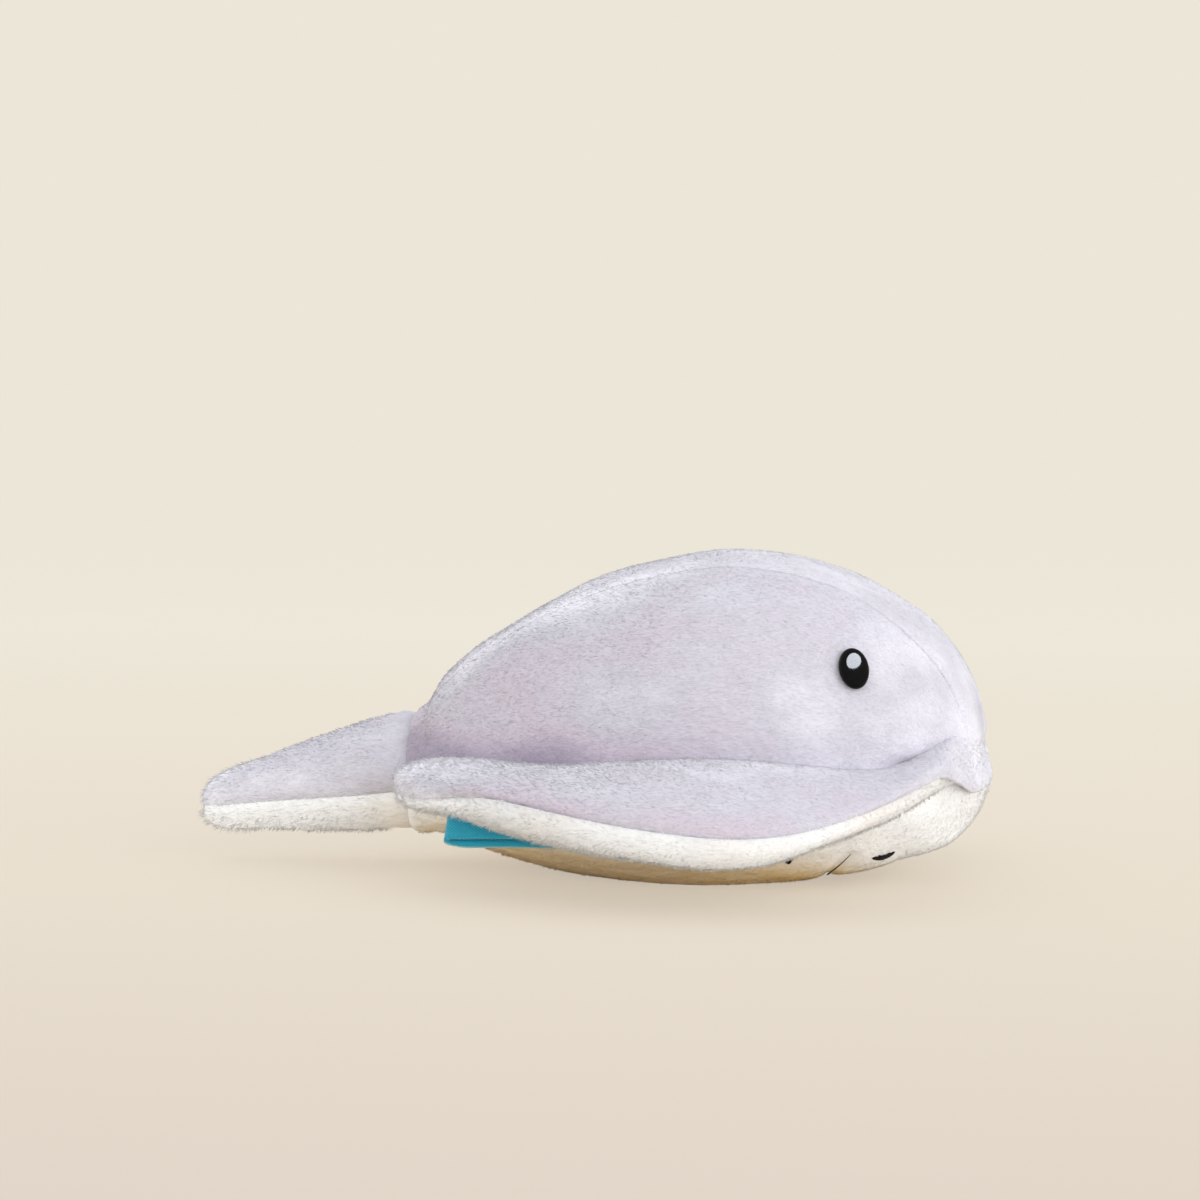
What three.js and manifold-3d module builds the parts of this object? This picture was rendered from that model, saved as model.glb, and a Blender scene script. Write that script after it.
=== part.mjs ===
// Plush stingray: a stuffed body sewn from plush panels, a padded disc with two wings that flap,
// a tail that swings on its neck, plastic eyes on lock washers and a woven side label.
// Millimetres. +X points to the nose, +Y to the toy's left, +Z up. The origin lies on the table,
// in the flat patch under the belly.
import * as THREE from "three";
import { mergeVertices } from "three/addons/utils/BufferGeometryUtils.js";
import Module from "manifold-3d";

const wasm = await Module();
wasm.setup();

// Cloth, thread and clearances
const FABRIC = 2.4; // plush cloth with its pile
const CLEARANCE = 0.3; // between pieces that touch
const THREAD = 0.9; // seam thread
const SEAM_GAP = THREAD + 2 * CLEARANCE; // between two panel edges, with the thread in it
const EDGE_GAP = THREAD + 3 * CLEARANCE; // the same round the disc's curved edge

// Body: an egg, blunt at the nose and drawn out towards the tail
const APEX_X = 5; // station of the highest point of the back
const NOSE_REACH = 58.5; // apex station forward to the nose
const TAIL_REACH = 78; // apex station back to where the body's curves would close
const BODY_HALF_WIDTH = 43;
const BACK_RISE = 48.5; // waist up to the top of the back
const BELLY_DEPTH = 27; // waist down to the underside
const BELLY_PRESS = 1.5; // how far the table presses the belly flat
const WAIST_SLOPE = 0.05; // the waist climbs towards the nose
const WIDTH_ROUND = { front: 2.3, rear: 1.8 }; // superellipse powers, 2 is an ellipse
const BACK_ROUND = { front: 2, rear: 1.7 };
const BELLY_ROUND = { front: 2.8, rear: 1.7 };
const BACK_SECTION = 2.3;
const BELLY_SECTION = 2.8;

// Gusset: the strip of cloth along the back, from the tail over the top to the nose
const GUSSET_TAIL = 8; // half widths
const GUSSET_MIDDLE = 18.5;
const GUSSET_NOSE = 14;

// Disc: the padded rim round the waist that carries the wings
const DISC_HALF_SPAN = 76;
const NOSE_BAND = 1.6; // how far the disc stands out in front of the nose
const DISC_REAR = 79; // apex station back to the disc's rear edge
const DISC_ROUND = { front: 2.1, rear: 2 };
const DISC_TOP = { nose: 7.5, shoulder: 2.6, side: 5.8, rear: 5 }; // heights above its middle
const DISC_UNDER = { nose: 6.8, shoulder: 6.5, side: 10.5, rear: 6.8 }; // depths below it
const DISC_NOSE = 8; // degrees round from the nose where the band begins to thin
const DISC_SHOULDER = 46; // degrees to the thin place between nose band and wing
const DISC_TAIL = 150; // degrees to where the rear thickness is reached
const DISC_SECTION = 2.6;
const SHOULDER_SINK = 1.4; // how far the disc's middle lies below the waist at the shoulder
const NOSE_SINK = 1.6; // and at the nose
const NOSE_SINK_END = 24; // degrees round from the nose over which that passes
const WING_DROOP = 9; // how far the wing's edge hangs below its root, where it hangs most
const DROOP_CENTRE = 75; // degrees round from the nose to the place where it hangs most
const DROOP_SPREAD = 56; // degrees each way to where the edge no longer hangs
const DISC_ROOT = 6; // how far the disc reaches into the body before it is cut
const LOBE_START = 138; // degrees round from the nose where the rear lobes begin to close
const LOBE_END = 164;
const EDGE_SEAM_RISE = { nose: -6, side: 0, rear: -2.5 }; // above the middle of the edge
const EDGE_SEAM_NOSE = 34; // degrees from the nose over which the seam climbs
const EDGE_SEAM_REAR = 120; // degrees to where it begins to fall again

// Wing hinge: the crease where the wing meets the body
const WING_ROOT = 4.5; // body's side out to the crease
const FLAP_UP = 45; // degrees
const FLAP_DOWN = 12;
const FLAP_SPARE = 2; // degrees of room past each limit

// Tail: a tapered limb on a ball-shaped neck
const TAIL_NECK_AHEAD = 1.5; // neck centre, ahead of where the body's curves would close
const TAIL_ROOT_RADIUS = 14.5;
const TAIL_LENGTH = 47.5; // neck centre to the tip
const TAIL_TIP_HALF_HEIGHT = 7;
const TAIL_TIP_HALF_WIDTH = 6.5;
const TAIL_TIP_DROP = 9; // how far the tip's middle lies below the neck's
const TAIL_TIP_ROUND = 4.4; // power that rounds the tip
const TAIL_SEAM_AHEAD = 4.5; // seam ring, ahead of the neck centre
const TAIL_RIM = 16; // radius of the body's rim round the tail's root
const TAIL_RIM_LENGTH = 16; // over which the body draws in to that rim
const TAIL_CREAM_DROP = 4.5; // side seam below the tail's middle at the neck
const TAIL_CREAM_SLOPE = 0.1; // the side seam falls towards the tip
const TAIL_SWING = 25; // degrees, each way and up
const NECK_RADIUS = 8; // wad of filling that the tail turns on
const NECK_CONE = 18; // degrees, half angle of the wad's stalk

// Eyes: oval domes on a post, held by a washer behind the cloth
const EYE_X = APEX_X + 0.573 * NOSE_REACH;
const EYE_HEIGHT = 49.5; // above the table
const EYE_WIDTH = 6.8;
const EYE_TALL = 9.4;
const EYE_DOME = 2.6;
const EYE_POST_RADIUS = 1.5;
const EYE_POST_LENGTH = 8;
const WASHER_RADIUS = 4.5;
const WASHER_THICKNESS = 1.2;
const WASHER_DEPTH = FABRIC + 6 * CLEARANCE; // below the cloth's surface, past its curve

// Embroidered face under the front of the belly
const STITCH = 1.2; // width of a stitched line
const STITCH_SUNK = 0.1; // how far its middle lies below the cloth's surface
const SMILE_X = APEX_X + 0.43 * NOSE_REACH;
const SMILE_HALF_WIDTH = 0.7 * BODY_HALF_WIDTH;
const SMILE_CURVE = 0.13 * NOSE_REACH; // how far its ends curve forward
const SMILE_BEND = 4; // power: the higher it is, the nearer to its ends it bends
const NOSTRIL_X = APEX_X + 0.67 * NOSE_REACH;
const NOSTRIL_Y = 0.56 * BODY_HALF_WIDTH;
const NOSTRIL_LENGTH = 6;
const NOSTRIL_WIDTH = 3;
const NOSTRIL_SLANT = 27; // degrees, front end inwards
const GILL_X = APEX_X + 0.338 * NOSE_REACH;
const GILL_Y = 0.8 * BODY_HALF_WIDTH;
const GILL_LENGTH = 2;

// Woven label, folded into a loop and sewn in beside the belly
const LABEL_X = -23;
const LABEL_HEIGHT = 14.5; // of its middle, above the table
const LABEL_LENGTH = 28;
const LABEL_WIDTH = 9;
const LABEL_THICKNESS = 0.6;
const LABEL_LOOP = 1.2; // gap between its two layers
const LABEL_TILT = 45; // degrees from upright, top edge inwards
const LABEL_SPLAY = 4; // degrees outwards from straight back

// Mesh resolution
const BODY_STATIONS = 14;
const BODY_ROUND = 16;
const DISC_STATIONS = 30;
const DISC_AROUND = 10;
const TAIL_AROUND = 12;
const BALL_AROUND = 20;
const TUBE_SIDES = 4;
const FAR = 200; // past every piece, for the blocks that cut

const { degToRad: degrees, lerp } = THREE.MathUtils;
const SIDES = { right: -1, left: 1 };
const TAIL_JOINT_X = APEX_X - TAIL_REACH + TAIL_NECK_AHEAD;
const TAIL_SEAM_X = TAIL_JOINT_X + TAIL_SEAM_AHEAD;
const HINGE_Y = BODY_HALF_WIDTH + WING_ROOT;

// Solids: closed meshes as manifold-3d solids, and back again
function solid(geometry) {
  const bare = new THREE.BufferGeometry();
  bare.setAttribute("position", geometry.getAttribute("position"));
  if (geometry.index) bare.setIndex(geometry.index);
  const merged = mergeVertices(bare, 1e-4);
  const vertProperties = merged.getAttribute("position").array;
  const triVerts = new Uint32Array(merged.index.array);
  return new wasm.Manifold(new wasm.Mesh({ numProp: 3, vertProperties, triVerts }));
}

function geometryOf(made) {
  const { vertProperties, triVerts } = made.getMesh();
  const geometry = new THREE.BufferGeometry();
  geometry.setAttribute("position", new THREE.BufferAttribute(vertProperties, 3));
  geometry.setIndex(new THREE.BufferAttribute(triVerts, 1));
  geometry.computeVertexNormals();
  return geometry;
}

// A closed skin over rings of points, ended by a point at each end. Rings run anticlockwise
// seen from the last one.
function loft(rings, firstPole, lastPole) {
  const around = rings[0].length;
  const points = [...rings.flat(), firstPole, lastPole];
  const first = points.length - 2;
  const last = points.length - 1;
  const index = [];
  for (let i = 0; i < around; i += 1) {
    const next = (i + 1) % around;
    index.push(first, next, i);
    const end = (rings.length - 1) * around;
    index.push(last, end + i, end + next);
    for (let r = 0; r + 1 < rings.length; r += 1) {
      const low = r * around;
      const high = low + around;
      index.push(low + i, low + next, high + next, low + i, high + next, high + i);
    }
  }
  const geometry = new THREE.BufferGeometry().setFromPoints(points);
  geometry.setIndex(index);
  return solid(geometry);
}

function middleOf(ring) {
  const sum = ring.reduce((total, point) => total.add(point), new THREE.Vector3());
  return sum.divideScalar(ring.length);
}

function block(low, high) {
  const size = new THREE.Vector3().subVectors(high, low);
  const middle = new THREE.Vector3().addVectors(low, high).multiplyScalar(0.5);
  const box = new THREE.BoxGeometry(size.x, size.y, size.z);
  return solid(box.translate(middle.x, middle.y, middle.z));
}

const blockFrom = (x0, y0, z0, x1, y1, z1) =>
  block(new THREE.Vector3(x0, y0, z0), new THREE.Vector3(x1, y1, z1));

// Everything on one side of the toy, past a distance from its middle
const halfSpace = (side, from) =>
  side > 0 ? blockFrom(-FAR, from, -FAR, FAR, FAR, FAR) : blockFrom(-FAR, -FAR, -FAR, FAR, -from, FAR);

// A round tube along points, with flat ends
function tube(points, diameter, steps) {
  const section = new THREE.Shape();
  for (let i = 0; i < TUBE_SIDES; i += 1) {
    const angle = (i / TUBE_SIDES) * 2 * Math.PI;
    const corner = [Math.cos(angle) * diameter * 0.5, Math.sin(angle) * diameter * 0.5];
    if (i === 0) section.moveTo(...corner);
    else section.lineTo(...corner);
  }
  section.closePath();
  const extrudePath = new THREE.CatmullRomCurve3(points);
  return solid(new THREE.ExtrudeGeometry(section, { steps, extrudePath }));
}

function ball(centre, radius) {
  const sphere = new THREE.SphereGeometry(radius, BALL_AROUND, BALL_AROUND / 2);
  return solid(sphere.rotateX(Math.PI / 2).translate(centre.x, centre.y, centre.z));
}

// Body surface
const waistAt = (x) => BELLY_DEPTH - BELLY_PRESS + WAIST_SLOPE * (x - APEX_X);
const signedPower = (value, power) => Math.sign(value) * Math.abs(value) ** power;
const fade = (share, power) => (1 - Math.min(1, share) ** power) ** (1 / power);

function bodyStation(x, inset) {
  const ahead = x >= APEX_X;
  const reach = (ahead ? NOSE_REACH : TAIL_REACH) - inset;
  const share = Math.abs(x - APEX_X) / reach;
  const end = ahead ? "front" : "rear";
  const rim = THREE.MathUtils.smoothstep(TAIL_SEAM_X - x, -TAIL_RIM_LENGTH, 0);
  const drawnIn = (half, power) => lerp((half - inset) * fade(share, power), TAIL_RIM - inset, rim);
  return {
    halfWidth: drawnIn(BODY_HALF_WIDTH, WIDTH_ROUND[end]),
    rise: drawnIn(BACK_RISE, BACK_ROUND[end]),
    depth: drawnIn(BELLY_DEPTH, BELLY_ROUND[end]),
  };
}

// station runs from -90 degrees at the tail end to 90 at the nose, round from 0 at the left
// waist over the back to 180 at the right waist and on under the belly.
function bodyPoint(station, round, inset) {
  const reach = (station > 0 ? NOSE_REACH : TAIL_REACH) - inset;
  const x = APEX_X + reach * Math.sin(station);
  const { halfWidth, rise, depth } = bodyStation(x, inset);
  const back = Math.sin(round) >= 0;
  const power = 2 / (back ? BACK_SECTION : BELLY_SECTION);
  const height = (back ? rise : depth) * signedPower(Math.sin(round), power);
  return new THREE.Vector3(x, halfWidth * signedPower(Math.cos(round), power), waistAt(x) + height);
}

function bodySolid(inset) {
  const rings = [];
  for (let s = 1; s < BODY_STATIONS; s += 1) {
    const station = (s / BODY_STATIONS - 0.5) * Math.PI;
    const ring = [];
    for (let r = 0; r < BODY_ROUND; r += 1) {
      ring.push(bodyPoint(station, (r / BODY_ROUND) * 2 * Math.PI, inset));
    }
    rings.push(ring);
  }
  return loft(rings, middleOf(rings[0]), bodyPoint(Math.PI / 2, 0, inset));
}

// The point and outward direction of the body's side at a station and a height above the table
function bodySide(x, height, side) {
  const { rise, depth } = bodyStation(x, 0);
  const above = height - waistAt(x);
  const section = above >= 0 ? BACK_SECTION : BELLY_SECTION;
  const share = Math.abs(above) / (above >= 0 ? rise : depth);
  const lift = Math.asin(share ** (section / 2)) * Math.sign(above);
  const round = side > 0 ? lift : Math.PI - lift;
  const reach = x >= APEX_X ? NOSE_REACH : TAIL_REACH;
  const station = Math.asin((x - APEX_X) / reach);
  const nudge = 1e-3;
  const point = bodyPoint(station, round, 0);
  const along = bodyPoint(station + nudge, round, 0).sub(point);
  const across = bodyPoint(station, round + nudge, 0).sub(point);
  return { point, outward: along.cross(across).negate().normalize() };
}

// Height of the belly's underside
function bellyAt(x, y) {
  const { halfWidth, depth } = bodyStation(x, 0);
  return waistAt(x) - depth * fade(Math.abs(y) / halfWidth, BELLY_SECTION);
}

// Everything above the waist, raised by an offset
function aboveWaist(offset) {
  const big = new THREE.BoxGeometry(2 * FAR, 2 * FAR, FAR).translate(0, 0, FAR / 2);
  big.rotateY(-Math.atan(WAIST_SLOPE));
  return solid(big.translate(APEX_X, 0, waistAt(APEX_X) + offset));
}

const bodyOutside = bodySolid(0).intersect(blockFrom(-FAR, -FAR, 0, FAR, FAR, FAR));
const bodyInside = bodySolid(FABRIC).intersect(blockFrom(-FAR, -FAR, FABRIC, FAR, FAR, FAR));
const bodyClear = bodySolid(-CLEARANCE);

// Gusset outline, seen from above
function gussetHalfWidth(x) {
  const share = (x - APEX_X) / (x >= APEX_X ? NOSE_REACH : TAIL_REACH);
  const end = x >= APEX_X ? GUSSET_NOSE : GUSSET_TAIL;
  return GUSSET_MIDDLE + (end - GUSSET_MIDDLE) * share ** 4;
}

function gussetStrip(margin) {
  const outline = [];
  const steps = 12;
  for (let i = 0; i <= steps; i += 1) {
    const x = APEX_X - TAIL_REACH + (i / steps) * (TAIL_REACH + NOSE_REACH + NOSE_BAND);
    outline.push(new THREE.Vector2(x, gussetHalfWidth(x) + margin));
  }
  const mirrored = outline.map((p) => new THREE.Vector2(p.x, -p.y)).reverse();
  const shape = new THREE.Shape([...mirrored, ...outline]);
  return solid(new THREE.ExtrudeGeometry(shape, { depth: FAR, bevelEnabled: false }));
}

// Tail: a ball at the neck, then a taper to a rounded tip
const tailJoint = new THREE.Vector3(TAIL_JOINT_X, 0, waistAt(TAIL_JOINT_X));

function tailRing(back, halfWidth, halfHeight, drop) {
  const ring = [];
  for (let i = 0; i < TAIL_AROUND; i += 1) {
    const angle = (i / TAIL_AROUND) * 2 * Math.PI;
    const y = Math.cos(angle) * halfWidth;
    const z = Math.sin(angle) * halfHeight - drop;
    ring.push(new THREE.Vector3(-back, -y, z).add(tailJoint));
  }
  return ring;
}

function tailSolid(inset) {
  const rings = [];
  const root = TAIL_ROOT_RADIUS - inset;
  const length = TAIL_LENGTH - inset;
  const ballSteps = 4;
  for (let i = 1; i <= ballSteps; i += 1) {
    const angle = (i / ballSteps) * (Math.PI / 2);
    rings.push(tailRing(-root * Math.cos(angle), root * Math.sin(angle), root * Math.sin(angle), 0));
  }
  const taperSteps = 8;
  for (let i = 1; i < taperSteps; i += 1) {
    const share = Math.sin((i / taperSteps) * (Math.PI / 2));
    const tip = fade(share, TAIL_TIP_ROUND);
    const taper = (end) => (root + (end - inset - root) * share) * tip;
    const drop = TAIL_TIP_DROP * share;
    rings.push(tailRing(length * share, taper(TAIL_TIP_HALF_WIDTH), taper(TAIL_TIP_HALF_HEIGHT), drop));
  }
  const front = tailJoint.clone().add(new THREE.Vector3(root, 0, 0));
  const tip = tailJoint.clone().add(new THREE.Vector3(-length, 0, -TAIL_TIP_DROP));
  return loft(rings, front, tip);
}

// Everything above the tail's side seam, raised by an offset
function aboveTailSeam(offset) {
  const big = new THREE.BoxGeometry(2 * FAR, 2 * FAR, FAR).translate(0, 0, FAR / 2);
  big.rotateY(-Math.atan(TAIL_CREAM_SLOPE));
  const height = tailJoint.z - TAIL_CREAM_DROP + offset;
  return solid(big.translate(TAIL_JOINT_X, 0, height));
}

// A cone from the neck centre forwards, ended by a ball about that centre
function neckCone(halfAngle, radius) {
  const steps = 4;
  const profile = [new THREE.Vector2(0, 0)];
  for (let i = 0; i <= steps; i += 1) {
    const angle = degrees(halfAngle) * (1 - i / steps);
    profile.push(new THREE.Vector2(radius * Math.sin(angle), radius * Math.cos(angle)));
  }
  profile[profile.length - 1].x = 0;
  const cone = new THREE.LatheGeometry(profile, BALL_AROUND / 2).rotateZ(-Math.PI / 2);
  return solid(cone.translate(tailJoint.x, tailJoint.y, tailJoint.z));
}

const tailOutside = tailSolid(0);
const tailSocket = ball(tailJoint, TAIL_ROOT_RADIUS + 2 * CLEARANCE);
const behindTailSeam = blockFrom(-FAR, -FAR, -FAR, TAIL_SEAM_X + SEAM_GAP / 2, FAR, FAR);
const tailRoom = tailSocket.add(behindTailSeam);

// Eyes
function eyeFrame(side) {
  const { point, outward } = bodySide(EYE_X, EYE_HEIGHT, side);
  const up = new THREE.Vector3(0, 0, 1).addScaledVector(outward, -outward.z).normalize();
  const across = new THREE.Vector3().crossVectors(up, outward);
  return new THREE.Matrix4().makeBasis(across, up, outward).setPosition(point);
}

function upright(radius, low, high) {
  const rod = new THREE.CylinderGeometry(radius, radius, high - low, 4 * TUBE_SIDES);
  return rod.rotateX(Math.PI / 2).translate(0, 0, (low + high) / 2);
}

function eyeSolid() {
  const dome = new THREE.SphereGeometry(1, 4 * TUBE_SIDES, 2 * TUBE_SIDES).rotateX(Math.PI / 2);
  dome.scale(EYE_WIDTH / 2, EYE_TALL / 2, EYE_DOME);
  const front = solid(dome).intersect(blockFrom(-FAR, -FAR, 0, FAR, FAR, FAR));
  const post = solid(upright(EYE_POST_RADIUS, -EYE_POST_LENGTH, EYE_DOME / 2));
  return front.add(post).translate([0, 0, CLEARANCE]);
}

function washerSolid() {
  const low = -WASHER_DEPTH - WASHER_THICKNESS;
  const disc = solid(upright(WASHER_RADIUS, low, -WASHER_DEPTH));
  return disc.subtract(solid(upright(EYE_POST_RADIUS + CLEARANCE, low - FABRIC, FABRIC)));
}

function eyeHole(side) {
  const rod = upright(EYE_POST_RADIUS + CLEARANCE, -FABRIC - EYE_POST_LENGTH, EYE_DOME);
  return solid(rod.applyMatrix4(eyeFrame(side)));
}

function eyePocket(side) {
  const low = -EYE_POST_LENGTH - CLEARANCE;
  return solid(upright(WASHER_RADIUS + CLEARANCE, low, EYE_DOME).applyMatrix4(eyeFrame(side)));
}

// Embroidery: tubes of satin stitch laid on the belly, in grooves
function onBelly(x, y) {
  return new THREE.Vector3(x, y, bellyAt(x, y) + STITCH_SUNK);
}

function smilePath() {
  const points = [];
  const steps = 16;
  for (let i = 0; i <= steps; i += 1) {
    const across = (i / steps) * 2 - 1;
    points.push(onBelly(SMILE_X + SMILE_CURVE * across ** SMILE_BEND, SMILE_HALF_WIDTH * across));
  }
  return points;
}

function dashPath(x, y, length, slant) {
  const points = [];
  const steps = 4;
  for (let i = 0; i <= steps; i += 1) {
    const along = (i / steps - 0.5) * length;
    points.push(onBelly(x + along * Math.cos(slant), y - Math.sign(y) * along * Math.sin(slant)));
  }
  return points;
}

const stitches = {
  smile_stitch: (grow) => tube(smilePath(), STITCH + grow, 24),
};
for (const [name, side] of Object.entries(SIDES)) {
  const slant = degrees(NOSTRIL_SLANT);
  stitches[`nostril_stitch_${name}`] = (grow) =>
    tube(dashPath(NOSTRIL_X, side * NOSTRIL_Y, NOSTRIL_LENGTH + grow, slant), NOSTRIL_WIDTH + grow, 4);
  stitches[`gill_stitch_${name}`] = (grow) =>
    tube(dashPath(GILL_X, side * GILL_Y, GILL_LENGTH + grow, 0), STITCH + grow, 4);
}

// Disc and wings
function discOutline(angle) {
  const ahead = Math.cos(angle) >= 0;
  const power = 2 / (ahead ? DISC_ROUND.front : DISC_ROUND.rear);
  const reach = ahead ? NOSE_REACH + NOSE_BAND : DISC_REAR;
  const x = APEX_X + reach * signedPower(Math.cos(angle), power);
  return new THREE.Vector2(x, DISC_HALF_SPAN * signedPower(Math.sin(angle), power));
}

function rootOutline(angle) {
  const ahead = Math.cos(angle) >= 0;
  const power = 2 / (ahead ? WIDTH_ROUND.front : WIDTH_ROUND.rear);
  const reach = (ahead ? NOSE_REACH : TAIL_REACH) - DISC_ROOT;
  const x = APEX_X + reach * signedPower(Math.cos(angle), power);
  return new THREE.Vector2(x, (BODY_HALF_WIDTH - DISC_ROOT) * signedPower(Math.sin(angle), power));
}

// A share that eases from 0 to 1 between two places round the disc, in degrees from the nose
const easeRound = (angle, start, end) =>
  THREE.MathUtils.smoothstep(Math.abs(angle), degrees(start), degrees(end));

// A height that changes round the disc
function heightRound(angle, { nose, shoulder, side, rear }) {
  const front = lerp(nose, shoulder, easeRound(angle, DISC_NOSE, DISC_SHOULDER));
  const toSide = lerp(front, side, easeRound(angle, DISC_SHOULDER, 90));
  return lerp(toSide, rear, easeRound(angle, 90, DISC_TAIL));
}

function discShape(angle) {
  const { nose, side, rear } = EDGE_SEAM_RISE;
  const fromCentre = Math.abs(Math.abs(angle) - degrees(DROOP_CENTRE)) / degrees(DROOP_SPREAD);
  const seam = lerp(nose, side, easeRound(angle, 0, EDGE_SEAM_NOSE));
  const shoulder = Math.cos(angle) >= 0 ? SHOULDER_SINK * Math.sin(2 * angle) ** 2 : 0;
  return {
    top: heightRound(angle, DISC_TOP),
    under: heightRound(angle, DISC_UNDER),
    sink: shoulder + NOSE_SINK * (1 - easeRound(angle, 0, NOSE_SINK_END)),
    droop: WING_DROOP * Math.cos(Math.min(1, fromCentre) * (Math.PI / 2)) ** 2,
    seamRise: lerp(seam, rear, easeRound(angle, EDGE_SEAM_REAR, DISC_TAIL)),
  };
}

// Heights across the disc: share runs from 0 at the root to 1 at the edge
function discMiddle(angle, share) {
  const root = rootOutline(angle);
  const edge = discOutline(angle);
  const plan = root.clone().lerp(edge, share);
  const { sink, droop } = discShape(angle);
  return new THREE.Vector3(plan.x, plan.y, waistAt(plan.x) - sink - droop * share * share);
}

// The rear lobes close like the end of a finger
function lobeClosing(angle, inset) {
  const start = degrees(LOBE_START);
  const end = degrees(LOBE_END) - inset / DISC_HALF_SPAN;
  const past = Math.max(0, (Math.abs(angle) - start) / (end - start));
  return Math.sqrt(Math.max(0, 1 - past * past));
}

function discRing(angle, inset) {
  const root = rootOutline(angle);
  const width = root.distanceTo(discOutline(angle));
  const { top, under } = discShape(angle);
  const closing = lobeClosing(angle, inset);
  const ring = [];
  for (let i = 0; i < DISC_AROUND; i += 1) {
    const turn = (i / DISC_AROUND) * 2 * Math.PI;
    const reach = signedPower(Math.cos(turn), 2 / DISC_SECTION) * (1 - (2 * inset) / width) * closing;
    const half = (Math.sin(turn) > 0 ? under : top) - inset;
    const depth = signedPower(Math.sin(turn), 2 / DISC_SECTION) * half * closing;
    const point = discMiddle(angle, 0.5 + 0.5 * reach);
    ring.push(point.setZ(point.z - depth));
  }
  return ring;
}

function discAngles(inset) {
  const end = degrees(LOBE_END) - inset / DISC_HALF_SPAN;
  const angles = [];
  for (let i = 1; i < DISC_STATIONS; i += 1) {
    const share = (i / DISC_STATIONS) * 2 - 1;
    angles.push(end * share);
  }
  return angles;
}

function discSolid(inset) {
  const rings = discAngles(inset).map((angle) => discRing(angle, inset));
  return loft(rings, middleOf(rings[0]), middleOf(rings[rings.length - 1]));
}

// A curved block over the disc whose underside is the edge seam's surface, raised by an offset
function aboveEdgeSeam(offset) {
  const past = 0.15;
  const steps = 5;
  const ringAt = (angle) => {
    const low = [];
    for (let i = 0; i <= steps; i += 1) {
      const share = -past + (i / steps) * (1 + 2 * past);
      const point = discMiddle(angle, share);
      low.push(point.setZ(point.z + discShape(angle).seamRise + offset));
    }
    const high = low.map((point) => point.clone().setZ(FAR / 2)).reverse();
    return [...high, ...low].reverse();
  };
  const rings = discAngles(-DISC_ROOT).map(ringAt);
  return loft(rings, middleOf(rings[0]), middleOf(rings[rings.length - 1]));
}

// The crease's two clearances, as a wedge above and one below the hinge line
function hingeRoom(side) {
  const wedge = new THREE.Shape();
  const top = degrees(FLAP_UP + FLAP_SPARE);
  const bottom = degrees(FLAP_DOWN + FLAP_SPARE);
  wedge.moveTo(CLEARANCE, 0);
  wedge.lineTo(FAR / 4 * Math.tan(bottom), -FAR / 4);
  wedge.lineTo(-FAR, -FAR / 4);
  wedge.lineTo(-FAR, FAR / 4);
  wedge.lineTo(FAR / 4 * Math.tan(top), FAR / 4);
  wedge.closePath();
  const bar = new THREE.ExtrudeGeometry(wedge, { depth: 2 * FAR, bevelEnabled: false });
  bar.translate(0, 0, -FAR).rotateX(Math.PI / 2).rotateZ(Math.PI / 2);
  if (side < 0) bar.rotateZ(Math.PI);
  return solid(bar.translate(0, side * HINGE_Y, waistAt(APEX_X)));
}

const betweenHinges = blockFrom(-FAR, CLEARANCE - HINGE_Y, -FAR, FAR, HINGE_Y - CLEARANCE, FAR);
const tailGangway = blockFrom(
  -FAR, -TAIL_ROOT_RADIUS - SEAM_GAP, -FAR,
  TAIL_SEAM_X + SEAM_GAP, TAIL_ROOT_RADIUS + SEAM_GAP, FAR,
);

const discSkin = discSolid(0).subtract(discSolid(FABRIC));
const discPadding = discSolid(FABRIC + CLEARANCE);
const discTop = discSkin.intersect(aboveEdgeSeam(EDGE_GAP / 2));
const discUnder = discSkin.subtract(aboveEdgeSeam(-EDGE_GAP / 2));

function fixedPart(made) {
  return made.intersect(betweenHinges).subtract(bodyClear).subtract(tailGangway);
}

// The part of a disc layer outside one crease
function wingPart(made, side) {
  return made.subtract(hingeRoom(side));
}

function edgeSeam() {
  const depth = SEAM_GAP / 2;
  const points = discAngles(depth).map((angle) => {
    const width = rootOutline(angle).distanceTo(discOutline(angle));
    const closing = lobeClosing(angle, depth);
    const { top, under, seamRise } = discShape(angle);
    const reach = fade(Math.abs(seamRise) / (seamRise > 0 ? top : under), DISC_SECTION);
    const point = discMiddle(angle, 0.5 + 0.5 * (reach - (2 * depth) / width) * closing);
    return point.setZ(point.z + seamRise * closing);
  });
  return tube(points, THREAD, 2 * DISC_STATIONS);
}

// Body seams
function gussetSeam(side) {
  const points = [];
  const steps = 24;
  const first = Math.asin((TAIL_SEAM_X + SEAM_GAP - APEX_X) / TAIL_REACH);
  for (let i = 0; i <= steps; i += 1) {
    const station = first + (i / steps) * (Math.PI / 2 - first);
    const reach = (station > 0 ? NOSE_REACH : TAIL_REACH) - THREAD;
    const x = APEX_X + reach * Math.sin(station);
    const { halfWidth, rise } = bodyStation(x, THREAD);
    const across = gussetHalfWidth(x);
    if (across < halfWidth) {
      const z = waistAt(x) + rise * fade(across / halfWidth, BACK_SECTION);
      points.push(new THREE.Vector3(x, side * across, z));
    }
  }
  const aboveBand = aboveWaist(DISC_TOP.nose + SEAM_GAP);
  return tube(points, THREAD, 24).intersect(aboveBand);
}

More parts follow.
